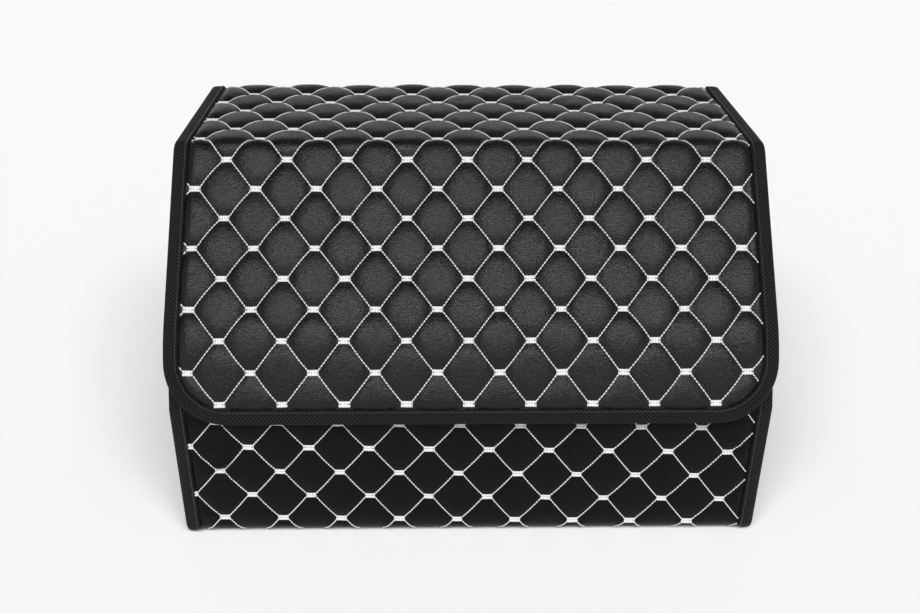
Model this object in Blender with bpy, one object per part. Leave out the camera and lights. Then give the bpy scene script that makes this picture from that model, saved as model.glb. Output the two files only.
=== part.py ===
"""A quilted trunk organizer bag with a hinged lid whose front hangs down as a flap.

Metres, +Z up, X to the right, the front faces -Y. One long quilted sheet wraps the bag:
down the front, under the bottom, up the back, over the top and down again as the flap.
Its line, seen from the side, is the Wrap below. Two side walls close the ends.
"""
import bpy
import bmesh
from math import acos, ceil, cos, floor, radians, sin, tan
from mathutils import Vector

# Quilting: diamonds sewn through the cover, with a short white bar at each crossing
DIAMOND_WIDTH = 0.050
ROW_SPACING = 0.02555
PUFF_HEIGHT = 0.0045
TOP_SHARE = 0.45
BAR_LENGTH = 0.008
BAR_HEIGHT = 0.0034
THREAD_WIDTH = 0.0018
THREAD_RISE = 0.0016
THREAD_THICKNESS = 0.0004

# Layers of a wall, from the outside to the inside, with the clearance between them
COVER = 0.0026
BOARD = 0.0020
BASE_BOARD = 0.0030
LINING = 0.0008
CLEARANCE = 0.0003

# Binding tape, folded over the edges
TAPE_WIDTH = 0.012
TAPE = 0.0012

# The side view: flat top, slope, and a lip that hangs over the front wall
HEIGHT = 0.311
TOP_DEPTH = 0.1775
SLOPE_LENGTH = 0.1672
SLOPE_ANGLE = radians(41.0)
LIP_LENGTH = 0.0672
LIP_ANGLE = radians(24.0)
LIP_REACH = 0.01303
DEPTH = TOP_DEPTH + SLOPE_LENGTH * sin(SLOPE_ANGLE) + LIP_LENGTH * sin(LIP_ANGLE) - LIP_REACH
FRONT_OVERLAP = 0.030
REST_GAP = 0.0005
SEAM_GAP = 0.0005
BOTTOM_RADIUS = 0.012
BACK_RADIUS = 0.014
FOLD_RADIUS = 0.015
BEND_RADIUS = 0.110
TOP_CHAMFER = 0.004
PRESSED_BAND = 0.007
SIDE_SEAM = 0.003
KNEE_RADIUS = 0.010

# Widths: the lid is a little wider than the body, and the side walls stand in behind flanges
BODY_WIDTH = 0.492
LID_WIDER = 0.003
LID_WIDTH = BODY_WIDTH + LID_WIDER
SIDE_SET_IN = 0.010
SIDE_WALL_X = BODY_WIDTH / 2 - SIDE_SET_IN
FLAP_CORNER_RADIUS = 0.050
CORNER_STEPS = 5

# The lower front panel was cut with its quilting a little aside and turned
FRONT_LATTICE_ASIDE = -0.0087
FRONT_LATTICE_TURN = radians(1.05)
FRONT_LOWEST_ROW = 0.0136

# Hook and loop strips
STRIP_LENGTH = 0.100
STRIP_WIDTH = 0.018
STRIP_FROM_SIDE = 0.126
STRIP_PLACE = BODY_WIDTH / 2 - STRIP_FROM_SIDE
HOOK_STRIP = 0.0014
LOOP_STRIP = 0.0012
STRIP_FROM_EDGE = 0.016

# Carrying handles of webbing on the side walls
HANDLE_LENGTH = 0.190
HANDLE_TAB = 0.028
HANDLE_STAND = 0.018
HANDLE_HEIGHT = 0.028
HANDLE_WEBBING = 0.0018
HANDLE_Z = 0.170
HANDLE_Y = 0.010
HANDLE_STEPS = 14

# How far a facet may stray from the curve where a wall bends, and the narrowest facet
FACET_DEPTH = 0.00028
NARROWEST_FACET = 0.0004

LEATHER = ("black_leather", (0.022, 0.022, 0.023), 0.42)
TAPE_CLOTH = ("black_tape", (0.012, 0.012, 0.012), 0.80)
THREAD = ("white_thread", (0.80, 0.80, 0.78), 0.55)
LINING_CLOTH = ("lining_cloth", (0.030, 0.030, 0.032), 0.90)
BOARD_STOCK = ("grey_board", (0.16, 0.15, 0.14), 0.85)
HOOK_CLOTH = ("hook_and_loop", (0.015, 0.015, 0.015), 0.95)


def clear_scene():
    for item in list(bpy.data.objects):
        bpy.data.objects.remove(item, do_unlink=True)


def material(look):
    name, colour, roughness = look
    found = bpy.data.materials.get(name)
    if found:
        return found
    made = bpy.data.materials.new(name)
    made.use_nodes = True
    shader = made.node_tree.nodes["Principled BSDF"]
    shader.inputs["Base Color"].default_value = (*colour, 1.0)
    shader.inputs["Roughness"].default_value = roughness
    shader.inputs["Metallic"].default_value = 0.0
    return made


class Profile:
    """Straight runs joined by arcs in the side view; outward lies right of the way along it."""

    def __init__(self, corners, radii):
        self.runs = []
        self.arcs = []
        points = [Vector(corner) for corner in corners]
        at = points[0]
        along = 0.0
        for before, corner, after, radius in zip(points, points[1:], points[2:], radii):
            way = (corner - before).normalized()
            onward = (after - corner).normalized()
            turn = acos(max(-1.0, min(1.0, way.dot(onward))))
            side = 1.0 if way.x * onward.y - way.y * onward.x > 0.0 else -1.0
            start = corner - way * radius * tan(turn / 2)
            straight = (start - at).length
            self.runs.append((along, straight, at, way, 0.0, 0.0))
            along += straight
            self.runs.append((along, radius * turn, start, way, radius, side))
            self.arcs.append((along, along + radius * turn))
            along += radius * turn
            at = corner + onward * radius * tan(turn / 2)
        last = (points[-1] - at)
        self.runs.append((along, last.length, at, last.normalized(), 0.0, 0.0))
        self.length = along + last.length

    def at(self, s):
        """The point and the outward direction at the length s."""
        run = self.runs[0]
        for candidate in self.runs:
            if s >= candidate[0]:
                run = candidate
        start, _, point, way, radius, side = run
        if radius == 0.0:
            return point + way * (s - start), Vector((way.y, -way.x))
        angle = side * (s - start) / radius
        turned = Vector((way.x * cos(angle) - way.y * sin(angle),
                         way.x * sin(angle) + way.y * cos(angle)))
        centre = point + Vector((-way.y, way.x)) * radius * side
        outward = Vector((turned.y, -turned.x))
        return centre + outward * radius * side, outward

    def breaks(self, first, last):
        """Lengths between first and last where a wall has to be creased to follow the line."""
        found = []
        for start, length, _, _, radius, _ in self.runs:
            widest = 2.0 * acos(1.0 - FACET_DEPTH / radius) if radius else 1.0
            steps = ceil(length / radius / widest) if radius else 1
            found += [start + length * step / steps for step in range(steps + 1)]
        low = first + NARROWEST_FACET
        high = last - NARROWEST_FACET
        return sorted({round(s, 7) for s in found if low < s < high})


def side_line():
    """The corners of the wrap, from the front rim round to the flap's edge, and its radii."""
    back = DEPTH / 2
    fold = Vector((back - TOP_DEPTH, HEIGHT))
    slope = Vector((-sin(SLOPE_ANGLE), -cos(SLOPE_ANGLE)))
    lip = Vector((-sin(LIP_ANGLE), -cos(LIP_ANGLE)))
    bend = fold + slope * SLOPE_LENGTH
    edge = bend + lip * LIP_LENGTH
    lip_out = Vector((lip.y, -lip.x))
    under = bend - lip_out * UNDER_LID
    knee = under + lip * ((under.x + back) / sin(LIP_ANGLE))
    rim = knee - lip * FRONT_OVERLAP
    corners = [rim, knee, (-back, 0.0), (back, 0.0), (back, HEIGHT), fold, bend, edge]
    radii = [KNEE_RADIUS, BOTTOM_RADIUS, BOTTOM_RADIUS, BACK_RADIUS, FOLD_RADIUS, BEND_RADIUS]
    return [tuple(corner) for corner in corners], radii


# Depths below the outer face of a wall
BOARD_TOP = COVER + CLEARANCE
BOARD_FOOT = BOARD_TOP + BOARD
LINING_TOP = BOARD_FOOT + CLEARANCE
WALL = LINING_TOP + LINING
FLANGE = COVER + CLEARANCE + TAPE
BEHIND_FLANGE = FLANGE + CLEARANCE
TAPE_OUT = CLEARANCE + TAPE
UNDER_LID = WALL + TAPE_OUT + REST_GAP + TAPE_OUT
BASE_TOP = COVER + CLEARANCE + BASE_BOARD
FLOOR = BASE_TOP + CLEARANCE + LINING

LID_HALF = LID_WIDTH / 2
BODY_HALF = BODY_WIDTH / 2
RIM_TAPE_INNER = SIDE_WALL_X - WALL - TAPE_OUT
INNER_HALF = RIM_TAPE_INNER - CLEARANCE
WALL_PUFF = SIDE_WALL_X + PUFF_HEIGHT

# The bends of the wrap, as the lengths at which each begins and ends, and some middles
WRAP = Profile(*side_line())
KNEE_ARC, FRONT_FOOT_ARC, BACK_FOOT_ARC, BACK_TOP_ARC, FOLD_ARC, LIP_ARC = WRAP.arcs
FRONT_FOOT = sum(FRONT_FOOT_ARC) / 2
BACK_FOOT = sum(BACK_FOOT_ARC) / 2
BACK_TOP = sum(BACK_TOP_ARC) / 2
FOLD = sum(FOLD_ARC) / 2
SPLIT = SEAM_GAP / 2
HINGE_LIFT = PUFF_HEIGHT + 2 * CLEARANCE

# Where the front and back linings stop above the lining of the base
FRONT_FLOOR = FRONT_FOOT_ARC[0] + BOTTOM_RADIUS - FLOOR - CLEARANCE
BACK_FLOOR = BACK_FOOT_ARC[1] - BOTTOM_RADIUS + FLOOR + CLEARANCE


def on_wrap(x, s, h):
    point, outward = WRAP.at(s)
    return Vector((x, point.x + outward.x * h, point.y + outward.y * h))


def on_side(sign):
    def place(y, z, h):
        return Vector((sign * (SIDE_WALL_X + h), y, z))
    return place


def crossing(point_a, way_a, point_b, way_b):
    """Where two lines in a plane meet."""
    cross = way_a.x * way_b.y - way_a.y * way_b.x
    gap = point_b - point_a
    return point_a + way_a * ((gap.x * way_b.y - gap.y * way_b.x) / cross)


def inset(outline, distances):
    """A convex outline, counter-clockwise, with each edge moved inward by its own distance."""
    lines = []
    for i, point in enumerate(outline):
        start = Vector(point)
        way = (Vector(outline[(i + 1) % len(outline)]) - start).normalized()
        lines.append((start + Vector((-way.y, way.x)) * distances[i], way))
    while True:
        points = [crossing(*lines[i - 1], *lines[i]) for i in range(len(lines))]
        kept = [line for line, start, end in zip(lines, points, points[1:] + points[:1])
                if (end - start).dot(line[1]) > 0.0]
        if len(kept) == len(lines):
            return [tuple(point) for point in points]
        lines = kept


def rectangle(left, right, low, high):
    return [(left, low), (right, low), (right, high), (left, high)]


def flap_outline(half, low, high, radius):
    """A rectangle whose two corners at high are round."""
    points = [(-half, low), (half, low)]
    for centre, first in ((half - radius, 0.0), (radius - half, 90.0)):
        for step in range(CORNER_STEPS + 1):
            angle = radians(first + 90.0 * step / CORNER_STEPS)
            points.append((centre + radius * cos(angle), high - radius + radius * sin(angle)))
    return points


def cut(bm, point, normal, clear):
    geometry = bm.verts[:] + bm.edges[:] + bm.faces[:]
    bmesh.ops.bisect_plane(bm, geom=geometry, dist=1e-6, plane_co=point, plane_no=normal,
                           clear_outer=clear)


def cut_along(bm, outline, clear):
    """Cuts a flat mesh along the edges of a convex outline."""
    count = len(outline)
    for i in range(count):
        start = Vector((*outline[i], 0.0))
        way = Vector((*outline[(i + 1) % count], 0.0)) - start
        if way.length > 1e-6:
            cut(bm, start, Vector((way.y, -way.x, 0.0)).normalized(), clear)


def crease(bm, breaks):
    for level in breaks:
        cut(bm, Vector((0.0, level, 0.0)), Vector((0.0, 1.0, 0.0)), False)


def inside(outline, point, margin=0.0):
    count = len(outline)
    for i in range(count):
        start = Vector(outline[i])
        way = Vector(outline[(i + 1) % count]) - start
        if way.length < 1e-6:
            continue
        way.normalize()
        off = Vector(point) - start
        if way.x * off.y - way.y * off.x < margin:
            return False
    return True


def finish(name, bm, look, parent):
    """Makes the object, with its faces out and its origin on its parent's axis."""
    bmesh.ops.remove_doubles(bm, verts=bm.verts[:], dist=1e-6)
    bmesh.ops.recalc_face_normals(bm, faces=bm.faces[:])
    mesh = bpy.data.meshes.new(name)
    bm.transform(parent.matrix_world.inverted())
    bm.to_mesh(mesh)
    bm.free()
    made = bpy.data.objects.new(name, mesh)
    bpy.context.scene.collection.objects.link(made)
    mesh.materials.append(material(look))
    made.parent = parent
    return made


def close_below(bm, thickness, breaks):
    """Closes a creased top sheet into a solid: walls down from its rim, and a plain underside."""
    rim = [edge for edge in bm.edges if edge.is_boundary]
    below = {}
    for vert in {vert for edge in rim for vert in edge.verts}:
        below[vert] = bm.verts.new((vert.co.x, vert.co.y, -thickness))
    underside = []
    for edge in rim:
        a, b = edge.verts
        bm.faces.new((a, b, below[b], below[a]))
        underside.append(bm.edges.get((below[a], below[b])))
    bottom = bmesh.ops.contextual_create(bm, geom=underside)["faces"]
    for level in breaks:
        faces = [face for face in bottom if face.is_valid]
        edges = {edge for face in faces for edge in face.edges}
        verts = {vert for face in faces for vert in face.verts}
        result = bmesh.ops.bisect_plane(bm, geom=[*verts, *edges, *faces], dist=1e-6,
                                        plane_co=(0.0, level, 0.0), plane_no=(0.0, 1.0, 0.0))
        bottom = [item for item in result["geom"] if isinstance(item, bmesh.types.BMFace)]


def slab(name, outline, top, foot, place, breaks, look, parent):
    """A plain layer of a wall, between two depths below the outer face."""
    bm = bmesh.new()
    bm.faces.new([bm.verts.new((*point, 0.0)) for point in outline])
    crease(bm, breaks)
    close_below(bm, foot - top, breaks)
    for vert in bm.verts:
        vert.co = place(vert.co.x, vert.co.y, vert.co.z - top)
    return finish(name, bm, look, parent)


class Lattice:
    """The diamonds of one panel: a crossing lies at the origin, and rows run along X."""

    def __init__(self, origin, turn=0.0):
        self.origin = Vector(origin)
        self.turn = turn

    def flat(self, i, j):
        """The panel's own place of a grid point; crossings are those where i + j is even."""
        x = i * DIAMOND_WIDTH / 2
        y = j * ROW_SPACING
        return self.origin + Vector((x * cos(self.turn) - y * sin(self.turn),
                                     x * sin(self.turn) + y * cos(self.turn)))

    def steps(self, x, y):
        off = Vector((x, y)) - self.origin
        along = off.x * cos(self.turn) + off.y * sin(self.turn)
        across = off.y * cos(self.turn) - off.x * sin(self.turn)
        return along / (DIAMOND_WIDTH / 2), across / ROW_SPACING

    def height(self, x, y, full):
        """How high the puff stands: full at a diamond's middle, nothing on the seams."""
        i, j = self.steps(x, y)
        low_i, low_j = floor(i), floor(j)
        nearest = min(abs(i - a) + abs(j - b) for a in (low_i, low_i + 1)
                      for b in (low_j, low_j + 1) if (a + b) % 2)
        flat = TOP_SHARE if full else 0.0
        return PUFF_HEIGHT * max(0.0, min(1.0, (1.0 - nearest) / (1.0 - flat)))

    def reach(self, outline):
        spots = [self.steps(*point) for point in outline]
        first_i = floor(min(spot[0] for spot in spots)) - 1
        last_i = ceil(max(spot[0] for spot in spots)) + 1
        first_j = floor(min(spot[1] for spot in spots)) - 1
        last_j = ceil(max(spot[1] for spot in spots)) + 1
        return range(first_i, last_i), range(first_j, last_j)


def pad(bm, ring, middle, full):
    """One diamond: a ring and a flat top if the puff is full, else four faces to a point."""
    centre = Vector((*middle, 0.0))
    if full:
        top = [bm.verts.new(centre + (vert.co - centre) * TOP_SHARE) for vert in ring]
        bm.faces.new(top)
    else:
        top = [bm.verts.new(centre)] * 4
    for k in range(4):
        face = [ring[k], ring[(k + 1) % 4], top[(k + 1) % 4], top[k]]
        bm.faces.new(face if full else face[:3])


def quilted(name, lattice, outline, puffed, place, breaks, parent, full):
    """A cover of foam-backed leather: flat under the tape, puffed in diamonds inside it."""
    bm = bmesh.new()
    corners = {}
    across, along = lattice.reach(outline)

    def corner(i, j):
        if (i, j) not in corners:
            corners[i, j] = bm.verts.new((*lattice.flat(i, j), 0.0))
        return corners[i, j]

    for i in across:
        for j in along:
            if (i + j) % 2:
                ring = [corner(i + 1, j), corner(i, j + 1), corner(i - 1, j), corner(i, j - 1)]
                pad(bm, ring, lattice.flat(i, j), full)
    cut_along(bm, outline, True)
    cut_along(bm, puffed, False)
    crease(bm, breaks)
    for vert in bm.verts:
        if inside(puffed, vert.co.xy, 1e-5) or open_edge(puffed, outline, vert.co.xy):
            vert.co.z = lattice.height(vert.co.x, vert.co.y, full)
    bm.normal_update()
    bmesh.ops.dissolve_limit(bm, angle_limit=radians(0.02), verts=bm.verts[:], edges=bm.edges[:])
    crease(bm, breaks)
    close_below(bm, COVER, breaks)
    bmesh.ops.triangulate(bm, faces=bm.faces[:], quad_method="BEAUTY", ngon_method="EAR_CLIP")
    for vert in bm.verts:
        vert.co = place(vert.co.x, vert.co.y, vert.co.z)
    return finish(name, bm, LEATHER, parent)


def open_edge(puffed, outline, point):
    """Whether a point lies on an edge where the puffs run on past the panel's end."""
    return not inside(outline, point, 1e-5) and inside(puffed, point, -1e-5) \
        and not on_sewn_edge(puffed, outline, point)


def on_sewn_edge(puffed, outline, point):
    """Whether a point of the puffed outline lies on an edge that tape holds flat."""
    count = len(puffed)
    for i in range(count):
        start = Vector(puffed[i])
        way = Vector(puffed[(i + 1) % count]) - start
        if way.length < 1e-6:
            continue
        middle = start + way / 2
        way.normalize()
        off = Vector(point) - start
        if abs(way.x * off.y - way.y * off.x) < 1e-5 and inside(outline, middle, 1e-5):
            return True
    return False


def stitching(name, lattice, area, place, parent):
    """The white sewing as one net: a short bar at each crossing, and thread between the bars."""
    tip = BAR_LENGTH / 2
    shoulder = tip - THREAD_WIDTH / 2
    rise = BAR_HEIGHT / 2
    shape = [(-tip, 0.0), (-shoulder, -rise), (shoulder, -rise), (tip, 0.0),
             (shoulder, rise), (-shoulder, rise)]
    bm = bmesh.new()
    bars = {}
    across, along = lattice.reach(area)
    for i in across:
        for j in along:
            centre = lattice.flat(i, j)
            if (i + j) % 2 or not inside(area, centre, tip):
                continue
            bars[i, j] = [bm.verts.new((centre.x + x, centre.y + y, 0.0)) for x, y in shape]
            bm.faces.new(bars[i, j])
    for (i, j), bar in bars.items():
        right = bars.get((i + 1, j + 1))
        if right:
            bm.faces.new((bar[3], right[1], right[0], bar[4]))
        left = bars.get((i - 1, j + 1))
        if left:
            bm.faces.new((bar[5], left[3], left[2], bar[0]))
    bmesh.ops.recalc_face_normals(bm, faces=bm.faces[:])
    top = bm.faces[:]
    copy = bmesh.ops.duplicate(bm, geom=bm.verts[:] + bm.edges[:] + top)
    twin = copy["vert_map"]
    for edge in [edge for face in top for edge in face.edges if edge.is_boundary]:
        if edge.is_valid and edge.is_boundary:
            a, b = edge.verts
            bm.faces.new((a, b, twin[b], twin[a]))
    lower = {twin[vert] for face in top for vert in face.verts}
    for vert in bm.verts:
        level = THREAD_RISE if vert in lower else THREAD_RISE + THREAD_THICKNESS
        vert.co = place(vert.co.x, vert.co.y, level)
    bmesh.ops.triangulate(bm, faces=bm.faces[:])
    return finish(name, bm, THREAD, parent)


def sweep(name, path, section, place, look, parent):
    """Runs a section along a path in a panel's plane; its first number points left of the way."""
    points = [Vector(point) for point in path]
    ways = [(b - a).normalized() for a, b in zip(points, points[1:])]
    bm = bmesh.new()
    rings = []
    for i, point in enumerate(points):
        before = ways[max(i - 1, 0)]
        after = ways[min(i, len(ways) - 1)]
        left = Vector((-before.y - after.y, before.x + after.x)).normalized()
        left /= left.dot(Vector((-after.y, after.x)))
        rings.append([bm.verts.new(place(point.x + left.x * a, point.y + left.y * a, h))
                      for a, h in section])
    count = len(section)
    for ring, following in zip(rings, rings[1:]):
        for i in range(count):
            j = (i + 1) % count
            bm.faces.new((ring[i], ring[j], following[j], following[i]))
    bm.faces.new(rings[0][::-1])
    bm.faces.new(rings[-1])
    return finish(name, bm, look, parent)


def folded_tape(depth):
    """The section of a tape folded over an edge that is depth thick."""
    top = CLEARANCE
    foot = -depth - CLEARANCE
    return [(0.0, foot - TAPE), (TAPE_WIDTH, foot - TAPE), (TAPE_WIDTH, foot), (TAPE, foot),
            (TAPE, top), (TAPE_WIDTH, top), (TAPE_WIDTH, top + TAPE), (0.0, top + TAPE)]


def creased_path(x, first, last):
    """A straight edge at x along the wrap, with a point at each crease."""
    levels = [first, *WRAP.breaks(min(first, last), max(first, last)), last]
    if first > last:
        levels = [first, *reversed(levels[1:-1]), last]
    return [(x, level) for level in levels]


def axis_at(name, arc, parent):
    """An empty on the line that a fold of the wrap turns about, outside its puffs."""
    point_a, out_a = WRAP.at(arc[0])
    point_b, out_b = WRAP.at(arc[1])
    point_a = point_a + out_a * HINGE_LIFT
    point_b = point_b + out_b * HINGE_LIFT
    place = crossing(point_a, Vector((-out_a.y, out_a.x)), point_b, Vector((-out_b.y, out_b.x)))
    return empty(name, (0.0, place.x, place.y), parent)


def empty(name, place, parent=None):
    made = bpy.data.objects.new(name, None)
    bpy.context.scene.collection.objects.link(made)
    made.parent = parent
    made.location = Vector(place) - (parent.matrix_world.translation if parent else Vector())
    bpy.context.view_layer.update()
    return made


def wall_layers(prefix, low, high, half, parent, board=BOARD):
    """The board and the lining behind a stretch of the wrap."""
    breaks = WRAP.breaks(low, high)
    outline = rectangle(-half, half, low, high)
    foot = BOARD_TOP + board
    slab(prefix + "_board", outline, BOARD_TOP, foot, on_wrap, breaks, BOARD_STOCK, parent)
    top = foot + CLEARANCE
    slab(prefix + "_lining", outline, top, top + LINING, on_wrap, breaks, LINING_CLOTH, parent)


def make_lid_top(parent, lattice):
    low = BACK_TOP + SPLIT
    high = FOLD - SPLIT
    breaks = WRAP.breaks(low, high)
    cover_half = LID_HALF - TAPE_OUT
    puff_half = LID_HALF - TAPE_WIDTH - CLEARANCE
    outline = rectangle(-cover_half, cover_half, low, high)
    puffed = rectangle(-puff_half, puff_half, low, high)
    quilted("lid_top_cover", lattice, outline, puffed, on_wrap, breaks, parent, True)
    stitching("lid_top_stitching", lattice, puffed, on_wrap, parent)
    wall_layers("lid_top", low, high, cover_half, parent)
    tape = folded_tape(WALL)
    sweep("lid_top_binding_left", creased_path(-LID_HALF, high, low), tape, on_wrap,
          TAPE_CLOTH, parent)
    sweep("lid_top_binding_right", creased_path(LID_HALF, low, high), tape, on_wrap,
          TAPE_CLOTH, parent)


def make_flap(parent, lattice):
    low = FOLD + SPLIT
    high = WRAP.length
    breaks = WRAP.breaks(low, high)
    cover_half = LID_HALF - TAPE_OUT
    sewn = TAPE_WIDTH + CLEARANCE
    outline = flap_outline(cover_half, low, high - TAPE_OUT, FLAP_CORNER_RADIUS - TAPE_OUT)
    puffed = flap_outline(LID_HALF - sewn, low, high - sewn, FLAP_CORNER_RADIUS - sewn)
    quilted("flap_cover", lattice, outline, puffed, on_wrap, breaks, parent, True)
    stitching("flap_stitching", lattice, puffed, on_wrap, parent)
    slab("flap_board", outline, BOARD_TOP, BOARD_FOOT, on_wrap, breaks, BOARD_STOCK, parent)
    slab("flap_lining", outline, LINING_TOP, WALL, on_wrap, breaks, LINING_CLOTH, parent)
    edge = flap_outline(LID_HALF, low, high, FLAP_CORNER_RADIUS)
    corners = edge[2:]
    straight = high - FLAP_CORNER_RADIUS
    path = creased_path(LID_HALF, low, straight) + corners[1:-1] \
        + creased_path(-LID_HALF, straight, low)
    sweep("flap_binding", path, folded_tape(WALL), on_wrap, TAPE_CLOTH, parent)
    strip_high = high - STRIP_FROM_EDGE
    strip_low = strip_high - STRIP_WIDTH
    strips("hook_strip", strip_low, strip_high, WALL + CLEARANCE, HOOK_STRIP, parent)
    return strip_low, strip_high


def strips(prefix, low, high, top, thickness, parent):
    for side, sign in (("left", -1), ("right", 1)):
        middle = sign * STRIP_PLACE
        outline = rectangle(middle - STRIP_LENGTH / 2, middle + STRIP_LENGTH / 2, low, high)
        slab(prefix + "_" + side, outline, top, top + thickness, on_wrap,
             WRAP.breaks(low, high), HOOK_CLOTH, parent)


def make_front(parent, lattice):
    high = FRONT_FOOT - SPLIT
    breaks = WRAP.breaks(0.0, high)
    cover_half = BODY_HALF - TAPE_OUT
    puff_half = BODY_HALF - TAPE_WIDTH - CLEARANCE
    outline = rectangle(-cover_half, cover_half, TAPE_OUT, high)
    puffed = rectangle(-puff_half, puff_half, KNEE_ARC[1] + PRESSED_BAND, high)
    quilted("front_panel", lattice, outline, puffed, on_wrap, breaks, parent, True)
    stitching("front_stitching", lattice, puffed, on_wrap, parent)
    inner_outline = rectangle(-INNER_HALF, INNER_HALF, TAPE_OUT, FRONT_FLOOR)
    inner_breaks = WRAP.breaks(TAPE_OUT, FRONT_FLOOR)
    slab("front_board", inner_outline, BOARD_TOP, BOARD_FOOT, on_wrap, inner_breaks,
         BOARD_STOCK, parent)
    slab("front_lining", inner_outline, LINING_TOP, WALL, on_wrap, inner_breaks,
         LINING_CLOTH, parent)
    tape = folded_tape(COVER)
    sweep("front_binding_left", creased_path(-BODY_HALF, high, 0.0), tape, on_wrap,
          TAPE_CLOTH, parent)
    sweep("front_binding_right", creased_path(BODY_HALF, 0.0, high), tape, on_wrap,
          TAPE_CLOTH, parent)
    sweep("front_rim_binding", [(-INNER_HALF, 0.0), (INNER_HALF, 0.0)], folded_tape(WALL),
          on_wrap, TAPE_CLOTH, parent)
    strip_low = TAPE_WIDTH + CLEARANCE
    strips("loop_strip", strip_low, strip_low + STRIP_WIDTH, -LOOP_STRIP - CLEARANCE,
           LOOP_STRIP, parent)


def make_back(parent, lattice):
    low = BACK_FOOT + SPLIT
    high = BACK_TOP - SPLIT
    breaks = WRAP.breaks(low, high)
    cover_half = BODY_HALF - TAPE_OUT
    puff_half = BODY_HALF - TAPE_WIDTH - CLEARANCE
    outline = rectangle(-cover_half, cover_half, low, high)
    puffed = rectangle(-puff_half, puff_half, BACK_FOOT_ARC[1], BACK_TOP_ARC[0])
    quilted("back_panel", lattice, outline, puffed, on_wrap, breaks, parent, False)
    wall_layers("back", BACK_FLOOR, high, INNER_HALF, parent)
    tape = folded_tape(COVER)
    sweep("back_binding_left", creased_path(-BODY_HALF, high, low), tape, on_wrap,
          TAPE_CLOTH, parent)
    sweep("back_binding_right", creased_path(BODY_HALF, low, high), tape, on_wrap,
          TAPE_CLOTH, parent)


def make_bottom(parent):
    low = FRONT_FOOT + SPLIT
    high = BACK_FOOT - SPLIT
    outline = rectangle(-SIDE_WALL_X, SIDE_WALL_X, low, high)
    slab("bottom_panel", outline, 0.0, COVER, on_wrap, WRAP.breaks(low, high), LEATHER, parent)
    wall_layers("base", FRONT_FOOT_ARC[1], BACK_FOOT_ARC[0], INNER_HALF, parent, BASE_BOARD)


def side_outline():
    """The side wall's edge: behind the front and back seams and below the closed lid."""
    back = DEPTH / 2 - BEHIND_FLANGE
    low = COVER + CLEARANCE
    chamfer = BOTTOM_RADIUS
    knee_point, lip_out = WRAP.at(0.0)
    lean = Vector((-lip_out.y, lip_out.x))
    lean_point = knee_point - lip_out * BEHIND_FLANGE
    bend_point, slope_out = WRAP.at(LIP_ARC[0])
    slope = Vector((-slope_out.y, slope_out.x))
    slope_point = bend_point - slope_out * UNDER_LID
    top = HEIGHT - UNDER_LID
    level = Vector((1.0, 0.0))
    upright = Vector((0.0, 1.0))
    knee = crossing(lean_point, lean, Vector((-back, 0.0)), upright)
    bend = crossing(lean_point, lean, slope_point, slope)
    fold = crossing(slope_point, slope, Vector((0.0, top)), level)
    return [(-back + chamfer, low), (back - chamfer, low), (back, low + chamfer),
            (back, top - TOP_CHAMFER), (back - TOP_CHAMFER, top), tuple(fold), tuple(bend),
            tuple(knee), (-back, low + chamfer)]


def make_side(side, sign, parent):
    outline = side_outline()
    place = on_side(sign)
    rim = TAPE_WIDTH + CLEARANCE
    cover = inset(outline, [0.0] * 4 + [TAPE_OUT] * 3 + [0.0] * 2)
    puffed = inset(outline, [SIDE_SEAM] * 4 + [rim] * 3 + [SIDE_SEAM] * 2)
    lattice = Lattice((0.0, HEIGHT / 2))
    quilted("side_panel_" + side, lattice, cover, puffed, place, [], parent, False)
    slab("side_board_" + side, cover, BOARD_TOP, BOARD_FOOT, place, [], BOARD_STOCK, parent)
    slab("side_lining_" + side, cover, LINING_TOP, WALL, place, [], LINING_CLOTH, parent)
    back_top, fold, bend, knee = outline[4:8]
    lining_back = DEPTH / 2 - WALL - CLEARANCE
    rim_point, _ = WRAP.at(0.0)
    down = (Vector(knee) - Vector(bend)).normalized()
    start = Vector(bend) + down * (Vector(bend).y - rim_point.y - TAPE_WIDTH / 2) / -down.y
    path = [(lining_back, back_top[1]), fold, bend, tuple(start)]
    sweep("side_rim_binding_" + side, path, folded_tape(WALL), place, TAPE_CLOTH, parent)
    make_handle(side, sign, parent)


def make_handle(side, sign, parent):
    """A strap sewn down at both ends, standing off the wall between them."""
    wall = WALL_PUFF + CLEARANCE
    half = HANDLE_LENGTH / 2
    free = half - HANDLE_TAB
    path = [(-half, wall)]
    for step in range(HANDLE_STEPS + 1):
        y = -free + 2 * free * step / HANDLE_STEPS
        stand = HANDLE_STAND * (1.0 - (y / free) ** 2) ** 2
        path.append((y, wall + stand))
    path.append((half, wall))
    edge = HANDLE_HEIGHT / 2
    section = [(0.0, -edge), (HANDLE_WEBBING, -edge), (HANDLE_WEBBING, edge), (0.0, edge)]

    def place(y, x, h):
        return Vector((sign * x, HANDLE_Y + y, HANDLE_Z + h))

    sweep("handle_" + side, path, section, place, TAPE_CLOTH, parent)


def stand_on_origin(top):
    """Moves the whole bag so that its box is centred over the origin."""
    bpy.context.view_layer.update()
    reach = [(item.matrix_world @ vert.co).y for item in bpy.data.objects
             if item.type == "MESH" for vert in item.data.vertices]
    top.location.y -= (min(reach) + max(reach)) / 2
    bpy.context.view_layer.update()


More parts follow.
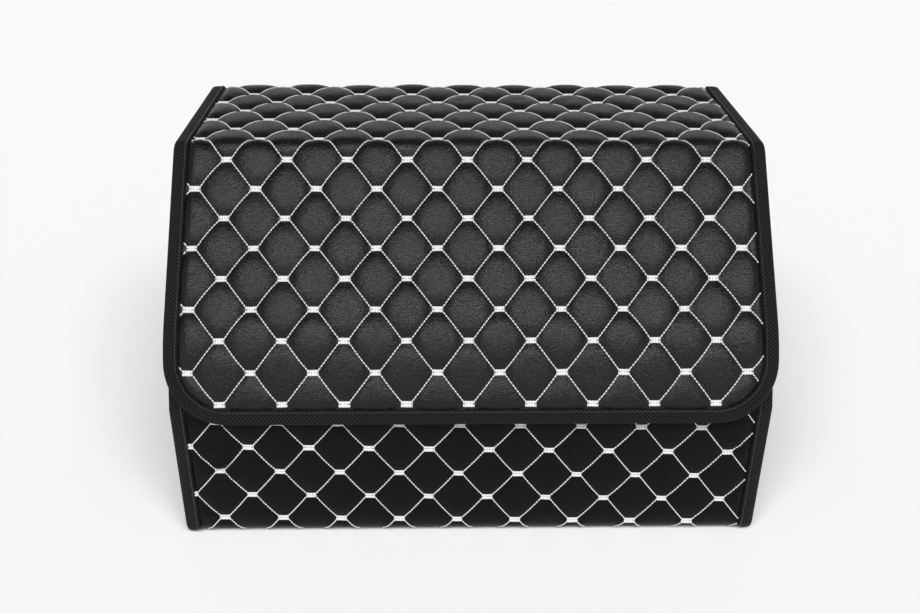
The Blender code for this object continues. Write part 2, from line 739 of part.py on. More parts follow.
def make_bag():
    clear_scene()
    bag = empty("bag", (0.0, 0.0, 0.0))
    lid = axis_at("lid_axis", BACK_TOP_ARC, bag)
    flap = axis_at("flap_axis", FOLD_ARC, lid)
    wrap_lattice = Lattice((0.0, FOLD + ROW_SPACING / 2))
    lowest = FRONT_FOOT_ARC[0] + BOTTOM_RADIUS - FRONT_LOWEST_ROW
    front_lattice = Lattice((FRONT_LATTICE_ASIDE, lowest), FRONT_LATTICE_TURN)
    make_front(bag, front_lattice)
    make_bottom(bag)
    make_back(bag, wrap_lattice)
    for side, sign in (("left", -1), ("right", 1)):
        make_side(side, sign, bag)
    make_lid_top(lid, wrap_lattice)
    make_flap(flap, wrap_lattice)
    stand_on_origin(bag)


make_bag()
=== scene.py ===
"""A quilted organizer bag for a car trunk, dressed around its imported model.

The file goes through the bag as it is made up: the boards, the bottom, the front, the back,
the sides with their handles, the lid with its flap, the linings, and last the studio.
"""
from math import acos, cos, pi, radians, sin, tan

import bmesh
import bpy
import numpy as np
from mathutils import Euler, Matrix, Vector


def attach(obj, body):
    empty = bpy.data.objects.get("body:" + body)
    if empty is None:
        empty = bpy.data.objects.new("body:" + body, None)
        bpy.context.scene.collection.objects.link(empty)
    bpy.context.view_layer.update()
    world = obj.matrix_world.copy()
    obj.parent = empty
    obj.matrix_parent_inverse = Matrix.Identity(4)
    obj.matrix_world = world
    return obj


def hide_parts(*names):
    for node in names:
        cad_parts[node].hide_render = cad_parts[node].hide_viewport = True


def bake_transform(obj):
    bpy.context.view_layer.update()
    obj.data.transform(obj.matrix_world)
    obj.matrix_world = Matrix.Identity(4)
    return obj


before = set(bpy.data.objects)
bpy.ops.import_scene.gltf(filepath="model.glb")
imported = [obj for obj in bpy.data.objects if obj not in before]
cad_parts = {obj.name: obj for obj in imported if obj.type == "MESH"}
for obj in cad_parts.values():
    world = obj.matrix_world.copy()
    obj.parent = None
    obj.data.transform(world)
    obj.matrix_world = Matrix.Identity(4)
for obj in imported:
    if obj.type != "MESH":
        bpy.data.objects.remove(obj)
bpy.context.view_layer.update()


# The boards. Grey pulp board, cut to each wall and slid in between the cover and the lining.
# It keeps the walls flat and square, and shows only in the slits beside the binding.

class Number:
    """A number that changes over a surface, so that a finish can be written as a sum."""

    def __init__(self, finish, socket):
        self.finish = finish
        self.socket = socket

    def __add__(self, other):
        return self.finish.number("ADD", self, other)

    def __radd__(self, other):
        return self.finish.number("ADD", other, self)

    def __sub__(self, other):
        return self.finish.number("SUBTRACT", self, other)

    def __rsub__(self, other):
        return self.finish.number("SUBTRACT", other, self)

    def __mul__(self, other):
        return self.finish.number("MULTIPLY", self, other)

    def __rmul__(self, other):
        return self.finish.number("MULTIPLY", other, self)


class Finish:
    """One material. What is the same all over it is set on its shader directly."""

    def __init__(self, name, constants):
        self.material = bpy.data.materials.new(name)
        self.material.use_nodes = True
        self.tree = self.material.node_tree
        self.shader = self.tree.nodes["Principled BSDF"]
        for socket, value in constants.items():
            self.shader.inputs[socket].default_value = value

    def node(self, kind, sockets, **settings):
        """Any node: its settings first, then the values or links of its sockets."""
        made = self.tree.nodes.new(kind)
        for setting, value in settings.items():
            setattr(made, setting, value)
        for socket, value in sockets.items():
            value = value.socket if isinstance(value, Number) else value
            if isinstance(value, bpy.types.NodeSocket):
                self.tree.links.new(value, made.inputs[socket])
            else:
                made.inputs[socket].default_value = value
        return made

    def number(self, operation, *values):
        made = self.node("ShaderNodeMath", dict(enumerate(values)), operation=operation)
        return Number(self, made.outputs[0])

    def cut(self):
        """Places on the flat cut of a piece, which its pattern follows."""
        return self.node("ShaderNodeUVMap", {}, uv_map="cut").outputs["UV"]

    def lengths(self, cut):
        """The two lengths of a place on the cut."""
        split = self.node("ShaderNodeSeparateXYZ", {"Vector": cut})
        return Number(self, split.outputs["X"]), Number(self, split.outputs["Y"])

    def noise(self, place, scale, detail, **others):
        made = self.node("ShaderNodeTexNoise",
                         {"Vector": place, "Scale": scale, "Detail": detail, **others})
        return Number(self, made.outputs[0])

    def cells(self, place, scale, **settings):
        made = self.node("ShaderNodeTexVoronoi", {"Vector": place, "Scale": scale}, **settings)
        return Number(self, made.outputs[0])

    def between(self, low, high, number):
        """Rises smoothly from 0 where the number is low to 1 where it is high."""
        made = self.node("ShaderNodeMapRange", {"Value": number, "From Min": low, "From Max": high},
                         interpolation_type="SMOOTHSTEP")
        return Number(self, made.outputs[0])

    def colour(self, share, first, second):
        made = self.node("ShaderNodeMix", {0: share, 6: (*first, 1.0), 7: (*second, 1.0)},
                         data_type="RGBA")
        return made.outputs[2]

    def feed(self, socket, value):
        value = value.socket if isinstance(value, Number) else value
        self.tree.links.new(value, self.shader.inputs[socket])

    def relief(self, height, depth, strength):
        made = self.node("ShaderNodeBump", {"Height": height, "Distance": depth,
                                            "Strength": strength})
        self.feed("Normal", made.outputs[0])


board = Finish("grey_pulp_board", {"Specular IOR Level": 0.25})
place = board.node("ShaderNodeTexCoord", {}).outputs["Object"]
fibres = board.noise(place, 420.0, 4.0)
flecks = board.cells(place, 900.0)
board.feed("Base Color", board.colour(fibres, (0.13, 0.12, 0.11), (0.24, 0.23, 0.21)))
board.feed("Roughness", 0.80 + fibres * 0.15)
board.relief(fibres + flecks * 0.4, 0.0002, 0.5)
for name in ("front_board", "back_board", "base_board", "side_board_left", "side_board_right",
             "lid_top_board", "flap_board"):
    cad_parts[name].data.materials.clear()
    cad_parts[name].data.materials.append(board.material)


# The bottom. One plain piece of the same black leathercloth as the rest, foam-backed like
# it, glued over the base board and turned in under the front and the back.

WRAP_CORNERS = [(-0.133596, 0.156738), (-0.145798, 0.129332), (-0.145798, 0.0), (0.155698, 0.0),
                (0.155698, 0.311), (-0.021802, 0.311), (-0.131495, 0.184813),
                (-0.158828, 0.123422)]
WRAP_RADII = [0.010, 0.012, 0.012, 0.014, 0.015, 0.110]


class SideLine:
    """The long sheet seen from the side: from the front rim, under the bag, over the top,
    to the edge of the flap. Straight runs and the arcs between them."""

    def __init__(self, corners, radii):
        self.runs = []
        self.arcs = []
        points = [Vector(corner) for corner in corners]
        at = points[0]
        along = 0.0
        for before, corner, after, radius in zip(points, points[1:], points[2:], radii):
            way = (corner - before).normalized()
            onward = (after - corner).normalized()
            turn = acos(way.dot(onward))
            side = 1.0 if way.x * onward.y - way.y * onward.x > 0.0 else -1.0
            start = corner - way * radius * tan(turn / 2)
            self.runs.append((along, *at, *way, 0.0))
            along += (start - at).length
            self.runs.append((along, *start, *way, side / radius))
            self.arcs.append((along, along + radius * turn))
            along += radius * turn
            at = corner + onward * radius * tan(turn / 2)
        way = (points[-1] - at).normalized()
        self.runs.append((along, *at, *way, 0.0))
        self.length = along + (points[-1] - at).length
        self.runs = np.array(self.runs)

    def at(self, s):
        """Points and outward directions at the lengths s."""
        run = np.searchsorted(self.runs[1:, 0], s, side="right")
        start, y, z, way_y, way_z, bend = self.runs[run].T
        off = s - start
        angle = off * bend
        reach = np.where(bend == 0.0, off, np.sin(angle) / np.where(bend == 0.0, 1.0, bend))
        aside = np.where(bend == 0.0, 0.0, (1.0 - np.cos(angle)) / np.where(bend == 0.0, 1.0, bend))
        y = y + way_y * reach - way_z * aside
        z = z + way_z * reach + way_y * aside
        turned_y = way_y * np.cos(angle) - way_z * np.sin(angle)
        turned_z = way_y * np.sin(angle) + way_z * np.cos(angle)
        return y, z, turned_z, -turned_y


WRAP = SideLine(WRAP_CORNERS, WRAP_RADII)
KNEE, FRONT_FOOT, BACK_FOOT, BACK_TOP, FOLD = WRAP.arcs[:5]


def on_wrap(flat):
    """Places flat points, given as x, length along the sheet and height, round the bag."""
    y, z, out_y, out_z = WRAP.at(flat[:, 1])
    return np.column_stack([flat[:, 0], y + out_y * flat[:, 2], z + out_z * flat[:, 2]])


def rectangle(left, right, low, high):
    return [(left, low), (right, low), (right, high), (left, high)]


def editable(points, faces):
    """A mesh of points and faces, ready to be cut."""
    mesh = bpy.data.meshes.new("flat")
    mesh.from_pydata(points.tolist(), [], faces)
    bm = bmesh.new()
    bm.from_mesh(mesh)
    bpy.data.meshes.remove(mesh)
    return bm


def cut_along(bm, outline, clear):
    """Cuts a flat sheet along the edges of a convex outline."""
    for start, end in zip(outline, outline[1:] + outline[:1]):
        way = Vector((end[0] - start[0], end[1] - start[1], 0.0))
        if way.length > 1e-6:
            geometry = bm.verts[:] + bm.edges[:] + bm.faces[:]
            bmesh.ops.bisect_plane(bm, geom=geometry, dist=1e-7, plane_co=(*start, 0.0),
                                   plane_no=(way.y, -way.x, 0.0), clear_outer=clear)


def close_below(bm, thickness, creases):
    """Gives the flat sheet its rim and its underside, so that it is a closed body."""
    rim = [edge for edge in bm.edges if edge.is_boundary]
    below = {}
    for vert in {vert for edge in rim for vert in edge.verts}:
        below[vert] = bm.verts.new((vert.co.x, vert.co.y, -thickness))
    underside = []
    for edge in rim:
        a, b = edge.verts
        bm.faces.new((a, b, below[b], below[a]))
        underside.append(bm.edges.get((below[a], below[b])))
    bottom = bmesh.ops.contextual_create(bm, geom=underside)["faces"]
    for level in creases:
        faces = [face for face in bottom if face.is_valid]
        geometry = list({item for face in faces for item in [*face.verts, *face.edges]}) + faces
        cut = bmesh.ops.bisect_plane(bm, geom=geometry, dist=1e-7, plane_co=(0.0, level, 0.0),
                                     plane_no=(0.0, 1.0, 0.0))
        bottom = [item for item in cut["geom"] if isinstance(item, bmesh.types.BMFace)]


def distance_inside(points, outline):
    """How far flat points lie inside a convex outline; less than 0 outside it."""
    nearest = np.full(len(points), 1e9)
    for start, end in zip(outline, outline[1:] + outline[:1]):
        way = np.subtract(end, start)
        length = np.hypot(*way)
        if length > 1e-6:
            off = points[:, :2] - start
            nearest = np.minimum(nearest, (way[0] * off[:, 1] - way[1] * off[:, 0]) / length)
    return nearest


def made_up(name, bm, put, finish, body, sharp=60.0, lift=None):
    """Turns a flat sheet into the piece: keeps its flat places for the finish's pattern, puts
    it in place, and lets it ride on its body."""
    bmesh.ops.recalc_face_normals(bm, faces=bm.faces[:])
    mesh = bpy.data.meshes.new(name)
    bm.to_mesh(mesh)
    bm.free()
    flat = np.empty(len(mesh.vertices) * 3)
    mesh.vertices.foreach_get("co", flat)
    flat = flat.reshape(-1, 3)
    if lift is not None:
        flat = lift(flat)
    corner = np.empty(len(mesh.loops), np.int32)
    mesh.loops.foreach_get("vertex_index", corner)
    cut = mesh.uv_layers.new(name="cut")
    cut.data.foreach_set("uv", flat[corner, :2].astype(np.float32).ravel())
    mesh.vertices.foreach_set("co", put(flat).astype(np.float32).ravel())
    mesh.update()
    turned = bmesh.new()
    turned.from_mesh(mesh)
    if turned.calc_volume(signed=True) < 0.0:
        bmesh.ops.reverse_faces(turned, faces=turned.faces[:])
        turned.to_mesh(mesh)
    turned.free()
    mesh.shade_smooth()
    mesh.set_sharp_from_angle(angle=radians(sharp))
    mesh.materials.append(finish.material)
    piece = bpy.data.objects.new(name, mesh)
    bpy.context.scene.collection.objects.link(piece)
    if body:
        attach(piece, body)
    return piece


def plain_sheet(outline, cell, thickness, creases):
    """A flat sheet in square cells, cut to an outline and closed below."""
    places = np.array(outline)
    low = places.min(axis=0)
    high = places.max(axis=0)
    columns = np.linspace(low[0], high[0], max(2, int((high[0] - low[0]) / cell) + 1))
    rows = np.linspace(low[1], high[1], max(2, int((high[1] - low[1]) / cell) + 1))
    bm = bmesh.new()
    grid = [[bm.verts.new((x, y, 0.0)) for x in columns] for y in rows]
    for first, second in zip(grid, grid[1:]):
        for k in range(len(columns) - 1):
            bm.faces.new((first[k], first[k + 1], second[k + 1], second[k]))
    cut_along(bm, outline, True)
    close_below(bm, thickness, creases)
    return bm


def leathercloth(name, roughness, grain_depth, shine=0.32):
    """Black leathercloth: a fine wrinkled grain, and a roughness that changes a little at random.
    """
    finish = Finish(name, {"IOR": 1.45, "Specular IOR Level": shine})
    cut = finish.cut()
    drawn = finish.node("ShaderNodeMapping", {"Vector": cut, "Scale": (0.8, 1.7, 1.0)}).outputs[0]
    wrinkles = finish.noise(drawn, 520.0, 2.5, Roughness=0.55, Distortion=1.0)
    pores = finish.cells(drawn, 1100.0, feature="SMOOTH_F1")
    clouds = finish.noise(cut, 34.0, 2.0)
    folds = finish.noise(drawn, 150.0, 2.0, Distortion=1.6)
    shade = clouds * 0.6 + wrinkles * 0.4
    finish.feed("Base Color", finish.colour(shade, (0.0018, 0.0018, 0.0019),
                                            (0.0062, 0.0062, 0.0064)))
    finish.feed("Roughness", roughness + (clouds - 0.5) * 0.16 + (pores - 0.5) * 0.10)
    finish.relief(wrinkles + pores * 0.06 + folds * 0.6, grain_depth, 0.9)
    return finish


COVER = 0.0026
BODY_HALF = 0.246
SIDE_WALL_X = 0.236

smooth_leather = leathercloth("black_leathercloth_smooth", 0.38, 0.00040)
bottom = made_up("bottom_cover",
                 plain_sheet(rectangle(-SIDE_WALL_X, SIDE_WALL_X, FRONT_FOOT[1], BACK_FOOT[0]),
                             0.012, COVER, []),
                 on_wrap, smooth_leather, "bag")
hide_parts("bottom_panel")


# The front wall. Foam-backed leathercloth sewn through in diamonds before it was cut, a
# little aside and out of true. It is thinner and flatter here than on the lid, rolls round
# the bottom edge, and shows a few slack folds near its left end.

DIAMOND_WIDTH = 0.050
ROW_SPACING = 0.02555
PUFF = 0.0045
FRONT_PUFF = 0.0034
SEAM_RISE = 0.0019
FRONT_RISE = 0.0007
BAR_HALF = (0.0044, 0.0021)
SEAM_START = 0.13
CELL_STEPS = [0.0, 0.016, 0.040, 0.075, 0.120, 0.175, 0.240, 0.320, 0.410]


class Quilting:
    """The diamonds of one panel. Seams run between the corners of the sewn bars, so each
    seam leaves its bar at a corner instead of at its middle."""

    def __init__(self, origin, turn=0.0, rows=ROW_SPACING):
        self.origin = np.array(origin)
        self.turn = turn
        self.rows = rows

    def aside(self, share):
        """How far a seam lies off the straight line between two crossings."""
        share = share - np.floor(share)
        inner = (share - SEAM_START) / (1.0 - 2.0 * SEAM_START)
        wide = DIAMOND_WIDTH / 2
        x = np.where(inner < 0.0, BAR_HALF[0] * share / SEAM_START,
                     np.where(inner > 1.0, wide - BAR_HALF[0] * (1.0 - share) / SEAM_START,
                              BAR_HALF[0] + inner * (wide - 2.0 * BAR_HALF[0])))
        s = np.where(inner < 0.0, BAR_HALF[1] * share / SEAM_START,
                     np.where(inner > 1.0, self.rows - BAR_HALF[1] * (1.0 - share) / SEAM_START,
                              BAR_HALF[1] + inner * (self.rows - 2.0 * BAR_HALF[1])))
        return x - wide * share, s - self.rows * share

    def flat(self, a, b):
        """Flat places of lattice points: a runs up to the right, b up to the left."""
        a_x, a_s = self.aside(a)
        b_x, b_s = self.aside(b)
        x = DIAMOND_WIDTH / 2 * (a - b) + a_x - b_x
        s = self.rows * (a + b) + a_s + b_s
        return (self.origin[0] + x * cos(self.turn) - s * sin(self.turn),
                self.origin[1] + x * sin(self.turn) + s * cos(self.turn))

    def lattice(self, x, s):
        off_x = x - self.origin[0]
        off_s = s - self.origin[1]
        across = (off_x * cos(self.turn) + off_s * sin(self.turn)) / (DIAMOND_WIDTH / 2)
        along = (off_s * cos(self.turn) - off_x * sin(self.turn)) / self.rows
        return (along + across) / 2, (along - across) / 2

    def reach(self, outline):
        places = np.array([self.lattice(*point) for point in outline])
        low = np.floor(places.min(axis=0)).astype(int) - 1
        high = np.ceil(places.max(axis=0)).astype(int) + 1
        return low, high


def arch(quilting, x, s, rise):
    """How high a seam lies: low at the bars, which hold it down, and higher in between."""
    a, b = quilting.lattice(x, s)
    bar_x, bar_s = quilting.flat(np.round(a), np.round(b))
    away = np.clip(np.hypot(x - bar_x, s - bar_s) - BAR_HALF[0], 0.0, None)
    return rise * (1.0 - np.exp(-(away / 0.0055) ** 2))


def pressed(points, puffed):
    """From 0 where the binding presses the quilting flat, to 1 a little inside it."""
    rise = np.clip(distance_inside(points, puffed) / 0.0090, 0.0, 1.0)
    return (1.0 - (1.0 - rise) ** 2.5) ** 0.8


def swell(share):
    """The side of a puff, from the seam, 0, to the middle, 1: steep, then nearly flat."""
    rising = 1.0 - np.abs(2.0 * (share - np.floor(share)) - 1.0)
    return (1.0 - (1.0 - rising) ** 2.9) ** 0.88


def unevenness(x, s):
    """A slow unevenness of hand-guided sewing and foam, from -1 to 1."""
    return (np.sin(x * 61.0 + s * 23.0) * 0.40 + np.sin(x * 27.0 - s * 88.0 + 1.3) * 0.30
            + np.sin(x * 143.0 + s * 117.0 + 0.4) * 0.18
            + np.sin(x * 211.0 - s * 168.0 + 2.1) * 0.12)


def quilted_sheet(quilting, outline, puffed, height, rise, steps, creases, across=()):
    """A flat quilted sheet: fine cells lined up with the seams, cut to its outline, pressed
    flat where the binding will hold it, and closed below. It also has edges straight across
    at some lengths."""
    low, high = quilting.reach(outline)
    shares = np.array(steps + [0.5] + [1.0 - step for step in reversed(steps[1:])])
    lines_a = np.concatenate([shares + k for k in range(low[0], high[0])])
    lines_b = np.concatenate([shares + k for k in range(low[1], high[1])])
    a, b = np.meshgrid(lines_a, lines_b)
    x, s = quilting.flat(a, b)
    fullness = 1.0 + 0.10 * np.sin(np.floor(a) * 12.9 + np.floor(b) * 78.2)
    seam = arch(quilting, x, s, rise)
    level = seam + (height * fullness - seam) * swell(a) * swell(b)
    points = np.column_stack([x.ravel(), s.ravel(), level.ravel()])
    number = np.arange(a.size).reshape(a.shape)
    quads = np.stack([number[:-1, :-1], number[:-1, 1:], number[1:, 1:], number[1:, :-1]], axis=-1)
    quads = quads.reshape(-1, 4)
    near = distance_inside(points, outline) > -0.006
    quads = quads[near[quads].any(axis=1)]
    used, quads = np.unique(quads, return_inverse=True)
    quads = quads.reshape(-1, 4)
    bm = editable(points[used], quads.tolist())
    bmesh.ops.remove_doubles(bm, verts=bm.verts[:], dist=1e-6)
    cut_along(bm, outline, True)
    cut_along(bm, puffed, False)
    for level in across:
        bmesh.ops.bisect_plane(bm, geom=bm.verts[:] + bm.edges[:] + bm.faces[:], dist=1e-7,
                               plane_co=(0.0, level, 0.0), plane_no=(0.0, 1.0, 0.0))
    for vert, share in zip(bm.verts, pressed(np.array([vert.co[:] for vert in bm.verts]), puffed)):
        vert.co.z *= share
    close_below(bm, COVER, creases)
    return bm


def creases_of(low, high):
    """Where an underside has to bend to follow the side line."""
    levels = []
    for start, end in WRAP.arcs:
        count = max(2, int((end - start) / 0.0025))
        levels += list(np.linspace(start, end, count))
    return [level for level in levels if low + 0.001 < level < high - 0.001]


TAPE_OUT = 0.0015
TAPE_WIDTH = 0.012
PRESSED_BAND = 0.006
SLACK_FOLDS = [(-0.213, 0.086, -0.55, 0.017, 0.0034), (-0.207, 0.099, -0.35, 0.014, 0.0022),
               (-0.223, 0.074, -0.80, 0.012, 0.0020), (0.226, 0.070, 1.00, 0.018, 0.0024)]
FOLD_HALF = 0.0032
FRONT_TILT = radians(1.05)
front_quilting = Quilting((-0.0117, 0.1440), FRONT_TILT, 0.0247)
cover_edge = BODY_HALF - TAPE_OUT
tape_inner = BODY_HALF - TAPE_WIDTH
front_leather = leathercloth("black_leathercloth_front", 0.42, 0.00030, 0.09)
front_outline = rectangle(-cover_edge, cover_edge, TAPE_OUT, FRONT_FOOT[1])
front_puffed = rectangle(-tape_inner, tape_inner, KNEE[1] + PRESSED_BAND, FRONT_FOOT[1] + 0.03)


def settle_front(flat):
    """Presses the quilting flat as it rolls under the bag, and adds the slack folds."""
    x, s, h = flat.T
    under = np.clip((FRONT_FOOT[0] + 0.007 - s) / 0.016, 0.0, 1.0)
    puffs = np.where(h > 0.0, h * under, h)
    slack = unevenness(x, s) * 0.00035
    for fold_x, fold_s, tilt, length, depth in SLACK_FOLDS:
        along = (x - fold_x) * cos(tilt) + (s - fold_s) * sin(tilt)
        across = (s - fold_s) * cos(tilt) - (x - fold_x) * sin(tilt)
        slack = slack + depth * np.exp(-(along / length) ** 2 - (across / FOLD_HALF) ** 2)
    held = np.clip((cover_edge - np.abs(x)) / 0.02, 0.0, 1.0) * np.clip((s - KNEE[1]) / 0.02, 0, 1)
    inside = held * under * np.clip(h / FRONT_PUFF * 2.0, 0.0, 1.0)
    return np.column_stack([x, s, puffs + slack * inside])


front = made_up("front_cover",
                quilted_sheet(front_quilting, front_outline, front_puffed, FRONT_PUFF, FRONT_RISE,
                              CELL_STEPS, creases_of(TAPE_OUT, FRONT_FOOT[1])),
                on_wrap, front_leather, "bag", lift=settle_front)
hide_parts("front_panel")


# The white sewing on the front. Polyester thread in stitches of about 3 mm along the
# seams, and at each crossing a bar of two satin-stitched bands, sewn over the seams' ends.
# The bars that the loop strips cover are left out.

STITCH = 0.0029
STITCH_GAP = 0.00012
THREAD_HALF = (0.00060, 0.00050)
THREAD_RING = [(cos(2 * pi * k / 5), sin(2 * pi * k / 5)) for k in range(5)]
BAR_LINE = [(-0.0025, -0.0004), (-0.0024, 0.0008), (-0.0017, 0.0014), (-0.0008, 0.0012),
            (0.0, 0.0001), (0.0008, 0.0012), (0.0017, 0.0014), (0.0024, 0.0008),
            (0.0025, -0.0004)]
BAR_STATIONS = [(-0.0045, 0.60), (-0.0042, 1.0), (0.0042, 1.0), (0.0045, 0.60)]


def thread_finish(name, tone):
    """Spun polyester thread: strands twisted together, a soft shine, and painted shade that greys
    the grooves between the strands.
    """
    finish = Finish(name, {"Roughness": 0.48, "Specular IOR Level": 0.35,
                           "Sheen Weight": 0.15, "Sheen Roughness": 0.4})
    cut = finish.cut()
    strand = finish.number("SINE", finish.lengths(cut)[0] * (2 * pi / 0.00125))
    fuzz = finish.noise(cut, 2600.0, 2.0)
    groove = finish.between(-1.1, -0.2, strand + (fuzz - 0.5) * 0.8)
    # Painted shade: the grooves between the strands are coloured at 30 percent of the thread's
    # tone, darker than the thread is.
    painted_groove_shade = tuple(part * 0.30 for part in tone)
    finish.feed("Base Color", finish.colour(groove, painted_groove_shade, tone))
    finish.relief(groove + fuzz * 0.3, 0.00012, 0.8)
    return finish


def stitches(lines, on_surface, length=STITCH, gap=STITCH_GAP, half=THREAD_HALF):
    """Stitches along flat lines: for each, its ring points as flat places with heights."""
    starts, ends = [], []
    for first, last in lines:
        way = np.subtract(last, first)
        reach = np.hypot(*way)
        count = max(1, int(round(reach / length)))
        for k in range(count):
            starts.append(np.add(first, way * (k / count + gap / reach / 2)))
            ends.append(np.add(first, way * ((k + 1) / count - gap / reach / 2)))
    starts, ends = np.array(starts), np.array(ends)
    way = ends - starts
    left = np.column_stack([-way[:, 1], way[:, 0]]) / np.hypot(*way.T)[:, None]
    rings = []
    for share, width, lift in ((0.0, 0.0, 0.0000), (0.12, 0.95, 0.0004), (0.88, 0.95, 0.0004),
                               (1.0, 0.0, 0.0000)):
        centre = starts + way * share
        if width == 0.0:
            rings.append([np.column_stack([centre, np.full(len(centre), lift)])])
        else:
            rings.append([np.column_stack([centre + left * half[0] * width * across,
                                           np.full(len(centre), lift + half[1] * up)])
                          for across, up in THREAD_RING])
    points = np.stack([point for ring in rings for point in ring], axis=1)
    points[:, :, 2] += on_surface(points[:, :, 0], points[:, :, 1])
    shape = [(0, 1 + (k + 1) % 5, 1 + k) for k in range(5)]
    shape += [(11, 6 + k, 6 + (k + 1) % 5) for k in range(5)]
    shape += [(1 + k, 1 + (k + 1) % 5, 6 + (k + 1) % 5, 6 + k) for k in range(5)]
    return points, shape


def bars(places, turn, on_surface):
    """The satin bars, as flat places with heights."""
    points = []
    for k, (x, s) in enumerate(places):
        tilt = turn + 0.030 * sin(k * 7.3 + x * 90.0)
        size = 1.0 + 0.05 * sin(k * 3.1 + s * 70.0)
        for along, share in BAR_STATIONS:
            for across, h in BAR_LINE:
                across = across * size * (0.86 + 0.14 * share)
                along_now = along * size
                points.append((x + along_now * cos(tilt) - across * sin(tilt),
                               s + along_now * sin(tilt) + across * cos(tilt),
                               h * share if h > 0.0 else h))
    count = len(BAR_LINE)
    points = np.array(points).reshape(-1, 4 * count, 3)
    points[:, :, 2] += on_surface(points[:, :, 0], points[:, :, 1])
    shape = []
    for station in range(3):
        for k in range(count):
            m = (k + 1) % count
            shape.append((station * count + k, station * count + m,
                          (station + 1) * count + m, (station + 1) * count + k))
    shape.append(tuple(range(count)))
    shape.append(tuple(range(4 * count - 1, 3 * count - 1, -1)))
    return points, shape


def seam_lines(quilting, area, tucked=0.0015):
    """The seams between neighbouring bars, cut off at the edge of the area. A bar whose middle
    is not further than this outside is still sewn, and goes in under the binding."""
    low, high = quilting.reach(area)
    lines, crossings = [], []
    for i in range(low[0], high[0] + 1):
        for j in range(low[1], high[1] + 1):
            here = np.array(quilting.flat(np.float64(i), np.float64(j)))
            if distance_inside(here[None], area)[0] > -tucked:
                crossings.append(tuple(here))
            for onward_a, onward_b in ((1, 0), (0, 1)):
                shares = np.linspace(SEAM_START, 1.0 - SEAM_START, 30)
                line = np.column_stack(quilting.flat(i + shares * onward_a, j + shares * onward_b))
                kept = line[distance_inside(line, area) > 0.0004]
                if len(kept) > 2 and np.hypot(*(kept[-1] - kept[0])) > STITCH:
                    lines.append((kept[0], kept[-1]))
    return lines, crossings


def sewn(name, groups, put, finish, body):
    """Joins groups of like shapes, each given as points and faces, into one piece."""
    verts, faces, start = [], [], 0
    for points, shape in groups:
        count = points.shape[1]
        for k in range(points.shape[0]):
            faces += [tuple(start + k * count + v for v in face) for face in shape]
        start += points.shape[0] * count
        verts.append(points.reshape(-1, 3))
    return made_up(name, editable(np.concatenate(verts), faces), put, finish, body,
                   sharp=75.0)


def seam_height(quilting, puffed, rise, settle):
    """How high the seams of a panel lie, as the panel's own sheet has it."""
    def height(x, s):
        flat = np.column_stack([x.ravel(), s.ravel(), arch(quilting, x, s, rise).ravel()])
        flat[:, 2] *= pressed(flat, puffed)
        return settle(flat)[:, 2].reshape(x.shape)
    return height


white_thread = thread_finish("white_thread", (0.84, 0.84, 0.83))
front_area = rectangle(-tape_inner, tape_inner, 0.012, FRONT_FOOT[0] + 0.012)
lines, crossings = seam_lines(front_quilting, front_area, 0.0042)
LOOPS_END = 0.033
LOOPS_BETWEEN = (0.069, 0.171)
crossings = [(x, s) for x, s in crossings
             if s > LOOPS_END or not LOOPS_BETWEEN[0] < abs(x) < LOOPS_BETWEEN[1]]
on_front = seam_height(front_quilting, front_puffed, FRONT_RISE, settle_front)
front_sewing = sewn("front_sewing", [stitches(lines, on_front),
                                     bars(crossings, FRONT_TILT, on_front)],
                    on_wrap, white_thread, "bag")
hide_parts("front_stitching")


# The binding of the front. Black woven tape folded over each upright edge, which stands out
# beside the side wall as a flange, and over the rim. Sewn through near its inner edge.

TAPE = 0.0012
CLEARANCE = 0.0003


def tape_finish(name, rows, dots, height):
    """Woven tape: short floats in staggered rows, matt black, with a painted highlight that greys
    the yarns' tops and painted shade between them.
    """
    finish = Finish(name, {"Specular IOR Level": 0.26, "Sheen Weight": 0.01,
                           "Sheen Roughness": 0.5})
    cut = finish.cut()
    across, along = finish.lengths(cut)
    fuzz = finish.noise(cut, 1500.0, 3.0)
    rows_wave = finish.number("COSINE", across * (2 * pi / rows))
    dots_wave = finish.number("COSINE", along * (2 * pi / dots))
    floats = finish.between(0.05, 0.85, rows_wave * dots_wave + (fuzz - 0.5) * 0.5)
    # Painted highlight and shade: the colour runs from near black between the floats to grey on
    # their tops, where the relief is highest.
    finish.feed("Base Color", finish.colour(floats, (0.0015, 0.0015, 0.0016),
                                            (0.014, 0.014, 0.015)))
    finish.feed("Roughness", 0.90 - floats * 0.46)
    finish.relief(floats + fuzz * 0.35, height, 0.9)
    return finish


def tape_section(depth):
    """A tape folded over an edge that is depth thick: places inward from the edge and up."""
    top = CLEARANCE
    foot = -depth - CLEARANCE
    bulge = 0.0004
    outer = [(TAPE_WIDTH - 0.0002, top + TAPE * 0.45), (TAPE_WIDTH - 0.0009, top + TAPE * 0.95)]
    outer += [(TAPE_WIDTH * (1.0 - t), top + TAPE + bulge * sin(pi * t)) for t in (0.2, 0.4, 0.6)]
    outer += [(0.0018, top + TAPE * 0.98), (0.0006, top + TAPE * 0.55)]
    sides = [(0.0, top * 0.5), (0.0, foot * 0.5), (0.0, foot - TAPE * 0.2)]
    under = [(0.0006, foot - TAPE * 0.75), (0.0018, foot - TAPE)]
    under += [(TAPE_WIDTH * t, foot - TAPE) for t in (0.5, 0.93)]
    inner = [(TAPE_WIDTH - 0.0002, foot - TAPE * 0.5), (TAPE_WIDTH - 0.0009, foot),
             (TAPE, foot), (TAPE, top), (TAPE_WIDTH - 0.0009, top)]
    return outer + sides + under + inner


